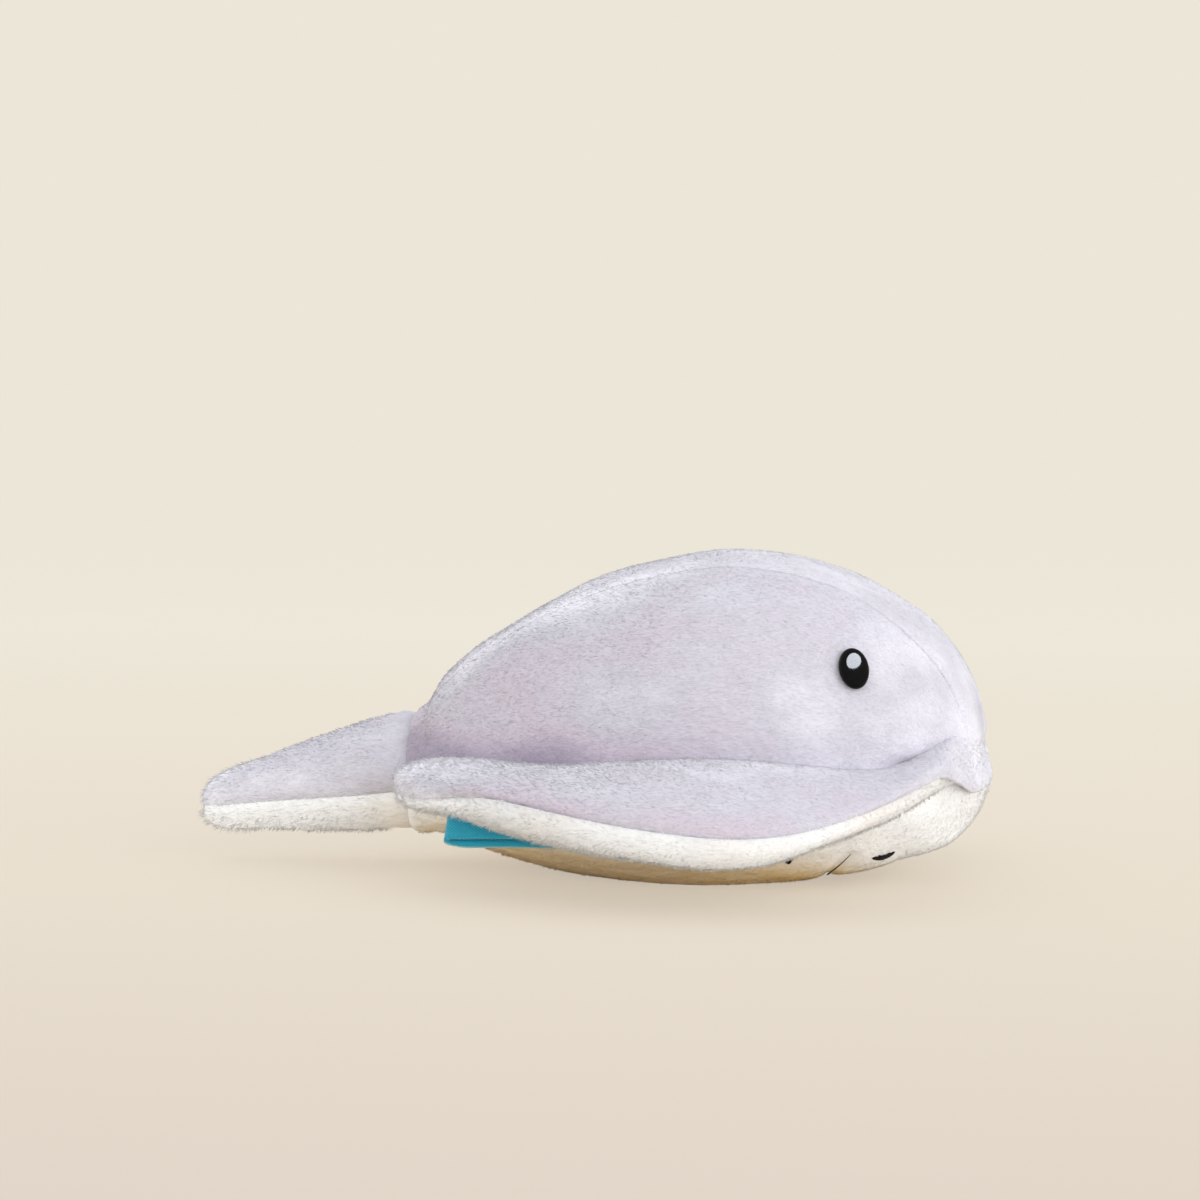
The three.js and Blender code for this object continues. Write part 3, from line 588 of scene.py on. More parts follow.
def plush_material(name, pale, colour, blush, deep, grain, sheen):
    """Short combed pile: fine strands along the toy, brushed patches, and a soft sheen at the edges.

    The attribute picks the colour: -1 shows pale, 0 the cloth's colour, 1 blushed, 2 deep.
    It holds the cloth's own tone, and also painted light and shade on the back, on the disc and at the
    pile's tips.
    Grain is the brightness between the strands.
    """
    nodes = Nodes(bpy.data.materials.new(name))
    strands = nodes.noise(STRAND, detail=3.0, roughness=0.62)
    tufts = nodes.noise(TUFT, distortion=0.6)
    tone_and_painted_light = nodes.math("MULTIPLY", nodes.attribute("tone_and_painted_light"), 0.3)
    lie = nodes.math("ADD", tone_and_painted_light, nodes.math("MULTIPLY", nodes.noise(PATCH), 0.7))
    brushed = nodes.ramp(lie, [(0.05, pale), (0.35, colour), (0.65, blush), (0.95, deep)])
    shade = nodes.ramp(strands, [(0.28, grey(grain)), (0.55, grey(1.0)), (0.8, grey(1.04))])
    depth = nodes.ramp(tufts, [(0.25, grey(0.94)), (0.6, grey(1.0))])
    shaded = nodes.mix("MULTIPLY", 1.0, brushed, shade)
    nodes.bump(nodes.math("ADD", nodes.math("MULTIPLY", strands, 0.6), tufts), 0.4, 0.8)
    nodes.set(Base_Color=nodes.mix("MULTIPLY", 1.0, shaded, depth), Roughness=0.92, Specular_IOR_Level=0.2)
    nodes.set(Sheen_Weight=sheen, Sheen_Roughness=0.45, Sheen_Tint=(1.0, 0.98, 1.0, 1.0))
    return nodes.owner


def plain_material(name, texture, low, high, bump, **shader):
    """Noise between two colours, each with its place in the noise, that also raises the surface."""
    nodes = Nodes(bpy.data.materials.new(name))
    grain = nodes.noise(**texture)
    nodes.bump(grain, *bump)
    nodes.set(Base_Color=nodes.ramp(grain, [low, high]), **shader)
    return nodes.owner


def thread_material(name, dark, colour, sheen):
    return plain_material(
        name,
        {"sizes": TWIST},
        (0.3, dark),
        (0.65, colour),
        bump=(0.5, 0.2),
        Roughness=0.6,
        Sheen_Weight=sheen,
        Specular_IOR_Level=0.2,
    )


def label_material():
    """Woven ribbon: a fine diagonal twill in teal, with a pale back."""
    nodes = Nodes(bpy.data.materials.new("label ribbon"))
    feeds = {"Scale": 1.0, "Distortion": 0.6, "Detail": 1.0, "Vector": nodes.scaled((1.5, 1.5, 1.5))}
    wave = nodes.add("ShaderNodeTexWave", feeds, wave_type="BANDS", bands_direction="DIAGONAL")
    twill = wave.outputs["Fac"]
    yarn = nodes.noise((1.8, 0.3, 0.3))
    woven = nodes.mix("MIX", twill, srgb(2, 142, 172), srgb(14, 170, 198))
    shade = nodes.ramp(yarn, [(0.25, grey(0.86)), (0.6, grey(1.0))])
    front = nodes.mix("MULTIPLY", 1.0, woven, shade)
    back = nodes.mix("MIX", nodes.attribute("tone_and_painted_light"), front, srgb(186, 214, 216))
    nodes.bump(nodes.math("ADD", twill, yarn), 0.45, 0.15)
    nodes.set(Base_Color=back, Roughness=0.5, Sheen_Weight=0.25, Specular_IOR_Level=0.45)
    return nodes.owner


LAVENDER = plush_material(
    "lavender plush",
    pale=srgb(236, 232, 241),
    colour=srgb(203, 199, 209),
    blush=srgb(202, 189, 201),
    deep=srgb(174, 163, 179),
    grain=0.84,
    sheen=0.3,
)
CREAM = plush_material(
    "cream plush",
    pale=srgb(250, 249, 249),
    colour=srgb(234, 232, 231),
    blush=srgb(228, 221, 216),
    deep=srgb(214, 204, 192),
    grain=0.92,
    sheen=0.25,
)
THREAD = thread_material("seam thread", srgb(160, 150, 164), srgb(196, 188, 200), 0.2)
EMBROIDERY = thread_material("black embroidery", srgb(7, 6, 6), srgb(20, 17, 17), 0.02)
EYE = plain_material(
    "eye plastic",
    {"sizes": (0.6, 0.6, 0.6), "detail": 3.0},
    (0.4, srgb(7, 7, 9)),
    (0.75, srgb(13, 13, 16)),
    bump=(0.02, 0.02),
    Roughness=0.06,
    Specular_IOR_Level=0.1,
)
LABEL = label_material()
FILLING = plain_material(
    "fibre filling",
    {"sizes": (3.0, 3.0, 3.0), "detail": 6.0, "roughness": 0.7, "distortion": 1.2},
    (0.3, srgb(222, 221, 217)),
    (0.65, srgb(248, 248, 245)),
    bump=(0.8, 1.5),
    Roughness=0.97,
    Sheen_Weight=0.4,
)
WASHER = plain_material(
    "washer plastic",
    {"sizes": (2.5, 2.5, 0.8), "detail": 3.0},
    (0.3, srgb(222, 222, 217)),
    (0.7, srgb(234, 234, 230)),
    bump=(0.15, 0.1),
    Roughness=0.5,
)

# The cloths: how their pile stands. Smooth is how much shorter it lies at the front, lean is from upright,
# density in tufts per square millimetre.
LAVENDER_CLOTH = {
    "material": LAVENDER,
    "slot": "lavender_plush",
    "length": 0.85,
    "smooth": 0.55,
    "lean": math.radians(60),
    "density": 2.2,
}
CREAM_CLOTH = {
    "material": CREAM,
    "slot": "cream_plush",
    "length": 1.1,
    "smooth": 0.2,
    "lean": math.radians(40),
    "density": 2.0,
}
STRIP_CLOTH = LAVENDER_CLOTH | {"length": 0.5}
BELLY_CLOTH = CREAM_CLOTH | {"length": 0.7, "lean": math.radians(58)}
COMB = np.array([-1.0, 0.0, -0.3])  # the way the pile lies
TIP_GROWTH = 0.7  # how much longer it is at the tail's tip
TUFT_RADIUS = 0.13
TUFT_SUNK = 0.25
TUFT_STRAY = 0.22
TUFT_LEANS = (0.7, 1.2)
TUFT_RADII = (0.7, 1.3)
TUFT_LENGTHS = (0.65, 1.35)
TUFT_TIP = -0.25  # tips are paler than roots: painted shade deep in the pile
TUFT_SHADE = 0.15  # how much of a tuft's own direction its shading takes, the rest being the cloth's
TUFT_FACES = np.array([[0, 1, 3], [1, 2, 3], [2, 0, 3], [2, 1, 0]])
TUFT_SIDE_UV = np.array([(0.06, 0.2), (0.34, 0.2), (0.2, 0.94)])  # of the first side, in a tuft's own cell
TUFT_SIDE_STEP = np.array([0.28, 0])
TUFT_FOOT_UV = np.array([(0.1, 0.04), (0.5, 0.14), (0.9, 0.04)])
TUFT_HELPER = (0.31, 0.52, 0.79)  # a direction that no tuft lies along
PILE_SEED = 5


def pile_object(name, outer, kind, tone_and_painted_light, bare, spill):
    """Short tufts standing on a cloth's outer grid, none where it is bare, spilling over its sewn edges."""
    draw = np.random.RandomState(PILE_SEED)
    low = outer[:-1, :-1]
    along = outer[1:, :-1] - low
    across = outer[:-1, 1:] - low
    area = np.linalg.norm(np.cross(along, across), axis=-1) * (1 - bare[:-1, :-1])
    count = int(kind["density"] * area.sum())
    chosen = draw.choice(area.size, count, p=area.ravel() / area.sum())
    i, j = np.unravel_index(chosen, area.shape)
    root = low[i, j] + draw.rand(count, 1) * along[i, j] + draw.rand(count, 1) * across[i, j]
    normal = normals_of(outer)[i, j]
    comb = unit(COMB - normal * (normal @ COMB)[:, None])
    lean = kind["lean"] * draw.uniform(*TUFT_LEANS, (count, 1))
    way = normal * np.cos(lean) + comb * np.sin(lean) + draw.normal(0, TUFT_STRAY, (count, 3))
    way = unit(way + spill[i, j, None] * unit(across[i, j]))
    first = unit(np.cross(way, TUFT_HELPER))
    second = np.cross(way, first)
    radius = TUFT_RADIUS * draw.uniform(*TUFT_RADII, (count, 1))
    phase = draw.uniform(0, 2 * math.pi, (count, 1))
    ring = []
    for turn in (phase, phase + 2 * math.pi / 3, phase + 4 * math.pi / 3):
        ring.append(root - way * TUFT_SUNK + radius * (np.cos(turn) * first + np.sin(turn) * second))
    growth = 1 - kind["smooth"] * to_front(root) + TIP_GROWTH * to_tip(root)
    length = kind["length"] * growth[:, None] * draw.uniform(*TUFT_LENGTHS, (count, 1))
    points = np.stack([*ring, root + way * length], axis=1).reshape(-1, 3)
    points[:, 2] = np.maximum(points[:, 2], FLOOR_GAP)
    number = np.arange(count)
    faces = (4 * number[:, None, None] + TUFT_FACES).reshape(-1, 3)
    cells = math.ceil(math.sqrt(count))
    corner = np.stack([number % cells, number // cells], axis=1)
    local = [TUFT_SIDE_UV + k * TUFT_SIDE_STEP for k in range(3)]
    uvs = (corner[:, None] + np.concatenate([*local, TUFT_FOOT_UV])) / cells
    shades = tone_and_painted_light[i, j, None] + np.array([0, 0, 0, TUFT_TIP])
    made = new_object(name, points, faces, kind["material"], uvs, shades)
    shading = unit(np.repeat(normal + TUFT_SHADE * way, 4, axis=0))
    made.data.normals_split_custom_set_from_vertices(shading)
    made.visible_shadow = False
    made.visible_diffuse = False
    return made


# Filling: each panel is simulated as cloth under pressure, with its sewn edges held
SIM_ENLARGE = 10  # the sheet is simulated this many times its size, where the solver's values fit
SIM_FRAMES = 20
SIM_CLOTH = {
    "quality": 6,
    "mass": 0.3,
    "tension_stiffness": 15,
    "compression_stiffness": 15,
    "shear_stiffness": 5,
    "bending_stiffness": 0.5,
    "use_pressure": True,
    "uniform_pressure_force": 3.0,
    "vertex_group_mass": "sewn",
}
SWELL_CAP = 1.8
SWELL_DRAW = 0.45  # the whole panel is drawn in by this, so that the swollen panel keeps its size


def swell(rows, held=None):
    """How far the filling swells a panel along its normals."""
    coarse = rows[::BACKING, ::BACKING]
    ids = numbered(coarse)
    sheet = new_object("sheet", coarse.reshape(-1, 3) * SIM_ENLARGE, quads(ids), FILLING)
    sewn = np.isin(ids, boundary(ids))
    if held is not None:
        sewn |= held[::BACKING, ::BACKING]
    group = sheet.vertex_groups.new(name="sewn")
    group.add(ids[sewn].tolist(), 1.0, "REPLACE")
    cloth = sheet.modifiers.new("filling", "CLOTH")
    for key, value in SIM_CLOTH.items():
        setattr(cloth.settings, key, value)
    cloth.settings.effector_weights.gravity = 0
    cloth.collision_settings.use_collision = False
    scene = bpy.context.scene
    for step in range(1, SIM_FRAMES + 1):
        scene.frame_set(step)
    posed = sheet.evaluated_get(bpy.context.evaluated_depsgraph_get())
    swollen = np.empty(ids.size * 3, np.float32)
    posed.data.vertices.foreach_get("co", swollen)
    moved = swollen.reshape(coarse.shape) / (SIM_ENLARGE * MM) - coarse
    mesh = sheet.data
    bpy.data.objects.remove(sheet)
    bpy.data.meshes.remove(mesh)
    scene.frame_set(1)
    out = np.sum(moved * normals_of(coarse), axis=-1)
    return enlarged(np.clip(out, 0, SWELL_CAP), rows.shape[:2]) - SWELL_DRAW


# Body pieces
RESTING_Z = (0.6, 0.2)  # no pile stands where the toy rests on the floor
SPILL_WIDTH = 1.6
TAIL_PINCH = 0.7  # the cloth is drawn in, and bare, where the tail is sewn on
TAIL_PINCH_WIDTH = 1.0
TAIL_BARE_WIDTH = 1.2
HEM = 0.4  # the body's cloth starts this far ahead of the tail's seam
NOSE_END = APEX_X + NOSE_REACH - 0.03


def spill_over(edge):
    """Tufts near a sewn edge lean over it."""
    return -np.sign(np.gradient(edge, axis=1)) * bump(edge, SPILL_WIDTH)


def make_cloth(name, rows, height, lining, kind, nodes, carry, tone_and_painted_light, bare, spill=0.0):
    """One panel: its cloth, which stands for CAD nodes, and the pile on it."""
    outer = puffed(rows, height)
    outer[..., 2] = np.maximum(outer[..., 2], FLOOR_GAP)
    cloth = cloth_object(name, outer, lining, kind["material"], tone_and_painted_light)
    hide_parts(*nodes)
    resting = smoothstep(outer[..., 2], *RESTING_Z)
    spill = np.broadcast_to(spill, resting.shape)
    pile = pile_object(f"{name}_pile", outer, kind, tone_and_painted_light, np.maximum(bare, resting), spill)
    for made in (cloth, pile):
        carry(made)


def riding(body):
    """Carries a piece on one body."""
    return lambda made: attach(made, body)


def make_panel(name, rows, height, kind, node, tone_and_painted_light, bare=0.0, amount=1.0):
    """A panel of the body: what all of them have, and the height, colour shades (its tone, with painted
    light and shade on the back) and bare places of this one.
    """
    to_tail = rows[..., 0] - TAIL_SEAM_X
    height = height + amount * uneven(rows, STUFFING) + nap(rows)
    height -= TAIL_PINCH * bump(to_tail, TAIL_PINCH_WIDTH)
    lining = rows - normals_of(rows) * CLOTH
    lining[..., 2] = np.maximum(lining[..., 2], CLOTH)
    bare = np.maximum(bare, bump(to_tail, TAIL_BARE_WIDTH))
    make_cloth(name, rows, height, lining, kind, [node], riding("body"), tone_and_painted_light, bare)


NOSE_HIDDEN = -2.5  # the cloth is drawn in behind the nose band,
NOSE_FULL = (  # and stuffed fuller than the solid above it
    (1.4, {"x": (40, 58), "z": (29, 34)}),
    (NOSE_HIDDEN, {"x": (40, 58), "z": (31, 28)}),
)
CRISP_X = (36, 52)  # where the strip's seam turns from a soft ridge into a crease
RIDGE = 0.45
RIDGE_WIDTH = 3.2
CREASE = (0.2, 0.8)  # depth of the crease behind, and how much is added at the front
CREASE_WIDTH = 1.3


def nose_full(points):
    x, _, z = split(points)
    return layered(NOSE_FULL, x=x, z=z)


def seam_dip(rows, distance):
    """The back strip's seam: a raised pale ridge behind, a crisp crease towards the nose."""
    crisp = smoothstep(rows[..., 0], *CRISP_X)
    crease = (CREASE[0] + CREASE[1] * crisp) * bump(distance, CREASE_WIDTH)
    return RIDGE * (1 - crisp) * bump(distance, RIDGE_WIDTH) - crease


# Painted light and shade on the back, as shades and where they come in: painted shade low on the rear half
# in the crease over the wing and towards the tail's seam, painted light at the nose where it faces the key
BACK_PAINTED_LIGHT = (
    (1.6, {"x": (45, -35), "z": (38, 28)}),
    (0.9, {"x": (-50, -66)}),
    (-0.3, {"x": (35, 55)}),
)
STRIP_PAINTED_LIGHT = BACK_PAINTED_LIGHT + ((-0.25, {"x": (50, 20)}),)  # paler than the sides behind the nose: painted light on the top of the back
# Painted highlight along the rear half of the seam, and painted shade on the flank under it
BEHIND = ((1.0, {"x": (12, -30), "ends": (-66, -52)}),)
RIDGE_PAINTED_HIGHLIGHT = -0.7
RIDGE_HIGHLIGHT_WIDTH = 4.2
FLANK_PAINTED_SHADE = ((0.5, {"distance": (4, 10)}),)
FLANK_Z = 38
FLANK_SPREAD = 14


def seam_painted_light(rows, distance, layers):
    """Painted light by the strip's seam: a painted highlight along its rear half and painted shade on the
    flank under it, added to the given layers.
    """
    x, _, z = split(rows)
    ridge = RIDGE_PAINTED_HIGHLIGHT * bump(distance, RIDGE_HIGHLIGHT_WIDTH)
    flank = layered(FLANK_PAINTED_SHADE, distance=distance) * bump(z - FLANK_Z, FLANK_SPREAD)
    return layered(BEHIND, x=x, ends=x) * (ridge + flank) + layered(layers, x=x, z=z)


BACK_CENTRE = np.array([0, 0, 20.0])  # a place inside the body, under the back's cloth
BELLY_CENTRE = np.array([0, 0, 30.0])


def make_strip():
    places = stations(TAIL_SEAM_X + HEM, NOSE_END, lambda x: back_point(x, math.pi / 2))
    rows = section_rows(places, back_point, gusset_turn, lambda x: math.pi - gusset_turn(x))
    rows = rows[:, :: outward_step(rows, BACK_CENTRE)]
    edge = to_border(rows)
    height = swell(rows) + seam_dip(rows, edge) + nose_full(rows)
    tone_and_painted_light = seam_painted_light(rows, edge, STRIP_PAINTED_LIGHT)
    make_panel("back_strip", rows, height, STRIP_CLOTH, "gusset_panel", tone_and_painted_light)


def back_out(x, turn):
    """The outward direction on the left half of the back."""
    nudge = 1e-3
    middle = back_point(x, turn)
    out = np.cross(back_point(x, turn + nudge) - middle, back_point(x + nudge, turn) - middle)
    out *= np.sign(out[..., 1:2])
    return out / np.linalg.norm(out, axis=-1, keepdims=True)


def eye_frame(side):
    """Where an eye sits on the body: its middle, and directions across, up and out."""
    _, rise, _ = body_station(EYE_X)
    turn = math.asin(((EYE_HEIGHT - waist_at(EYE_X)) / rise) ** (BACK_SECTION / 2))
    out = mirror(back_out(EYE_X, turn), side)
    up = unit(np.array([0, 0, 1.0]) - out * out[2])
    return mirror(back_point(EYE_X, turn), side), np.cross(up, out), up, out


SIDE_HEM = -0.06  # turn of the side panels' lower edge, hidden in the disc
SIDE_END = APEX_X + NOSE_REACH * 0.962
EYE_HELD = 5  # the eye's post holds the cloth this far round it, and draws it in
EYE_DENT = 0.9
EYE_DENT_WIDTH = 5.2
EYE_BARE = (5.4, 4.4)


def make_sides():
    places = stations(TAIL_SEAM_X + HEM, SIDE_END, lambda x: back_point(x, gusset_turn(x)))
    rows = section_rows(places, back_point, lambda x: SIDE_HEM, gusset_turn)
    across = lengths(rows, 1)
    step = outward_step(rows, BACK_CENTRE)
    rows = rows[:, ::step]
    to_seam = (across[:, -1:] - across)[:, ::step]
    to_eye = np.linalg.norm(rows - eye_frame(1)[0], axis=-1)
    swollen = swell(rows, to_eye < EYE_HELD) - EYE_DENT * bump(to_eye, EYE_DENT_WIDTH)
    for name, side in SIDES.items():
        mine, seam, eye, raised = mirrored_grids(side, rows, to_seam, to_eye, swollen)
        height = raised + seam_dip(mine, seam) + nose_full(mine)
        tone_and_painted_light = seam_painted_light(mine, seam, BACK_PAINTED_LIGHT)
        bare = smoothstep(eye, *EYE_BARE)
        make_panel(f"side_{name}", mine, height, LAVENDER_CLOTH, f"side_panel_{name}", tone_and_painted_light, bare)


def smile_line(count):
    across = np.linspace(-1, 1, count)
    x = SMILE_X + SMILE_CURVE * across**SMILE_BEND
    y = SMILE_HALF_WIDTH * across
    return np.stack([x, y, belly_height(x, y)], axis=-1)


# Short stitched marks: place, length, slant, width, number of stitches and thickness of the thread
DASHES = {
    "nostril": (NOSTRIL_X, NOSTRIL_Y, NOSTRIL_LENGTH, NOSTRIL_SLANT, NOSTRIL_WIDTH, 7, 0.26),
    "gill": (GILL_X, GILL_Y, GILL_LENGTH, 0, GILL_WIDTH, 3, 0.15),
}


def dash_line(kind, side):
    """The middle line of a short mark on the belly, its front end turned inwards."""
    x, y, length, slant, *_ = DASHES[kind]
    along = np.linspace(-0.5, 0.5, 9) * length
    px = x + along * math.cos(slant)
    py = side * (y - along * math.sin(slant))
    return np.stack([px, py, belly_height(px, py)], axis=-1)


def distance_to(rows, lines):
    """From each grid point to the nearest of some lines' points."""
    nearest = np.full(rows.shape[:2], np.inf)
    for point in np.concatenate(lines):
        nearest = np.minimum(nearest, np.linalg.norm(rows - point, axis=-1))
    return nearest


BELLY_HEM = 0.02  # turn at which the belly's cloth starts under the waist
BELLY_AMOUNT = 0.8  # the filling is smoother under the belly, in the disc and in the tail
SMILE_DENT = 0.9  # the stitches draw the cloth in, and no pile stands there
SMILE_DENT_WIDTH = 1.6
SMILE_BARE = (1.2, 0.6)
DASH_DENT = 0.15
DASH_DENT_WIDTH = 1.7
DASH_BARE = (1.6, 0.9)
MARKS_HELD = 3
CHIN_RISE = 4.0  # how far the chin's fuller part rises beside the nose, as the band's edge does
CHIN_RISE_Y = (14, 28)
CHIN_FULL = (  # the belly is fuller than the solid under the nose, and drawn in behind the band
    (2.3, {"x": (46, 58), "level": (25, 21)}),
    (NOSE_HIDDEN, {"x": (46, 58), "level": (22, 25)}),
)
JOWL_FULL = ((2.6, {"x": (5, 35), "ends": (58, 48)}),)  # the same for the belly's front under the disc
JOWL_Z = 18
JOWL_SPREAD = 5
BELLY_BRUSH = (
    (-1.1, {"x": (66, 54)}),
    (1.0, {"x": (42, 50), "z": (12, 17)}),
)


def make_belly():
    places = stations(TAIL_SEAM_X + HEM, NOSE_END, lambda x: belly_point(x, math.pi / 2))
    rows = section_rows(places, belly_point, lambda x: BELLY_HEM, lambda x: math.pi - BELLY_HEM)
    rows = rows[:, :: outward_step(rows, BELLY_CENTRE)]
    x, y, z = split(rows)
    dashes = [dash_line(kind, side) for kind in DASHES for side in SIDES.values()]
    to_dashes = distance_to(rows, dashes)
    to_smile = distance_to(rows, [smile_line(60)])
    height = swell(rows, np.minimum(to_smile, to_dashes) < MARKS_HELD)
    height -= SMILE_DENT * bump(to_smile, SMILE_DENT_WIDTH) + DASH_DENT * bump(to_dashes, DASH_DENT_WIDTH)
    level = z - CHIN_RISE * smoothstep(np.abs(y), *CHIN_RISE_Y)
    height += layered(CHIN_FULL, x=x, level=level)
    height += layered(JOWL_FULL, x=x, ends=x) * bump(z - JOWL_Z, JOWL_SPREAD)
    tone_and_painted_light = layered(BELLY_BRUSH, x=x, z=z)
    bare = np.maximum(smoothstep(to_smile, *SMILE_BARE), smoothstep(to_dashes, *DASH_BARE))
    make_panel("belly", rows, height, BELLY_CLOTH, "belly_panel", tone_and_painted_light, bare, BELLY_AMOUNT)


# Disc and wings
def outline(angle, powers, front, rear, half_width):
    """A round outline seen from above, with a reach and a roundness for each end."""
    ahead = np.cos(angle) >= 0
    power = 2 / np.where(ahead, *powers)
    x = APEX_X + np.where(ahead, front, rear) * signed_power(np.cos(angle), power)
    return np.stack([x, half_width * signed_power(np.sin(angle), power)], axis=-1)


def ease_round(angle, start, end):
    return smoothstep(angle, math.radians(start), math.radians(end))


def height_round(angle, heights):
    nose, shoulder, side, rear = heights
    front = nose + (shoulder - nose) * ease_round(angle, DISC_NOSE, DISC_SHOULDER)
    to_side = front + (side - front) * ease_round(angle, DISC_SHOULDER, 90)
    return to_side + (rear - to_side) * ease_round(angle, 90, DISC_TAIL)


def disc_height(angle, above):
    """The disc's half height above or below its middle."""
    return np.where(above > 0, height_round(angle, DISC_TOP), height_round(angle, DISC_UNDER))


def disc_point(angle, turn):
    """A point of the left half's skin: turn 0 at the edge, a quarter on top, a half at the root."""
    shoulder = np.where(np.cos(angle) >= 0, SHOULDER_SINK * np.sin(2 * angle) ** 2, 0)
    sink = shoulder + NOSE_SINK * (1 - ease_round(angle, 0, NOSE_SINK_END))
    from_centre = np.abs(angle - DROOP_CENTRE) / DROOP_SPREAD
    droop = WING_DROOP * np.cos(np.minimum(1, from_centre) * math.pi / 2) ** 2
    past = np.clip((angle - LOBE_START) / (LOBE_END - LOBE_START), 0, 1)
    closing = np.sqrt(1 - past**2)
    share = 0.5 + 0.5 * signed_power(np.cos(turn), 2 / DISC_SECTION) * closing
    edge = outline(angle, DISC_ROUND, NOSE_REACH + NOSE_BAND, DISC_REAR, DISC_HALF_SPAN)
    inside = [size - DISC_ROOT for size in (NOSE_REACH, TAIL_REACH, BODY_HALF_WIDTH)]
    root = outline(angle, WIDTH_ROUND, *inside)
    plan = root * (1 - share[..., None]) + edge * share[..., None]
    middle = waist_at(plan[..., 0]) - sink - droop * share**2
    height = signed_power(np.sin(turn), 2 / DISC_SECTION) * disc_height(angle, np.sin(turn)) * closing
    return np.concatenate([plan, (middle + height)[..., None]], axis=-1)


def edge_turn(angle):
    """Turn at which the edge's seam crosses the disc's section."""
    nose, side, rear = EDGE_SEAM_RISE
    rise = nose + (side - nose) * ease_round(angle, EDGE_SEAM_LOW, EDGE_SEAM_NOSE)
    rise = rise + (rear - rise) * ease_round(angle, EDGE_SEAM_REAR, DISC_TAIL)
    return np.arcsin(signed_power(rise / disc_height(angle, rise), DISC_SECTION / 2))


LOBE_GAP = 1e-5  # angle left before a lobe's end, where its rows have no length
LOBE_CALM = (0, 10)  # shorter rows than this have less height, and none at the end
DISC_INNER = 0.97 * math.pi  # turn of the cloth's inner edge, inside the body
SWELL_NOSE = (6, 30)  # degrees from the nose over which the swelling comes in,
DRAW_NOSE = (20, 40)  # and the drawing in
NOSE_LAP = 0.02  # radians by which the halves overlap at the nose, each edge a little under the other half
NOSE_LAP_SUNK = 0.25
AT_NOSE = (30, 8)  # degrees
NOSE_LEAN = 1.8  # at the nose the band on top leans back to lie flush with the dome,
NOSE_LEAN_FROM = (2, 8)
NOSE_JUT = 1.0  # its lower edge juts out over the chin,
NOSE_JUT_WIDTH = 3
NOSE_TUCK = 3.4  # and the cream underside tucks in behind the chin
NOSE_TUCK_END = (52, 14)  # degrees
CREST_DIP = 1.5  # the top lies lower behind the wing's crest
CREST_DIP_ANGLE = math.radians(116)
CREST_DIP_WIDTH = math.radians(15)
WING_FULL = 1.2  # the underside hangs fuller at the side
WING_FULL_ANGLE = math.radians(78)
WING_FULL_WIDTH = math.radians(14)
LABEL_ROOM = 1.5  # the underside is drawn in where the label comes out
LABEL_ROOM_X = -48.0
LABEL_ROOM_WIDTH = 12
EDGE_DIP = 0.7  # the edge's seam draws the cloth in
EDGE_DIP_WIDTH = 1.5
# Shades of the disc's colour. On top: darker along the edge, paler at the lobe, and paler at the nose,
# painted light where it faces the key. Underneath: darker from the middle forwards, painted shade where
# the lamps light it most, and paler at the rear, painted light where they leave it dim. Angles are in
# degrees.
EDGE_BRUSH = ((0.9, {"angle": (45, 80), "ends": (150, 125)}),)
EDGE_BRUSH_AT = 3
EDGE_BRUSH_WIDTH = 4
TOP_PALING = ((-0.5, {"angle": (40, 10)}), (-0.9, {"angle": (120, 145)}))
UNDER_PAINTED_LIGHT = ((0.2, {"x": (-40, -20)}), (-0.7, {"x": (-35, -55)}), (0.5, {"x": (36, 50)}))


def on_wing():
    """Bakes a piece's placement into its mesh; it is carried on no body."""
    return lambda made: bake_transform(made)


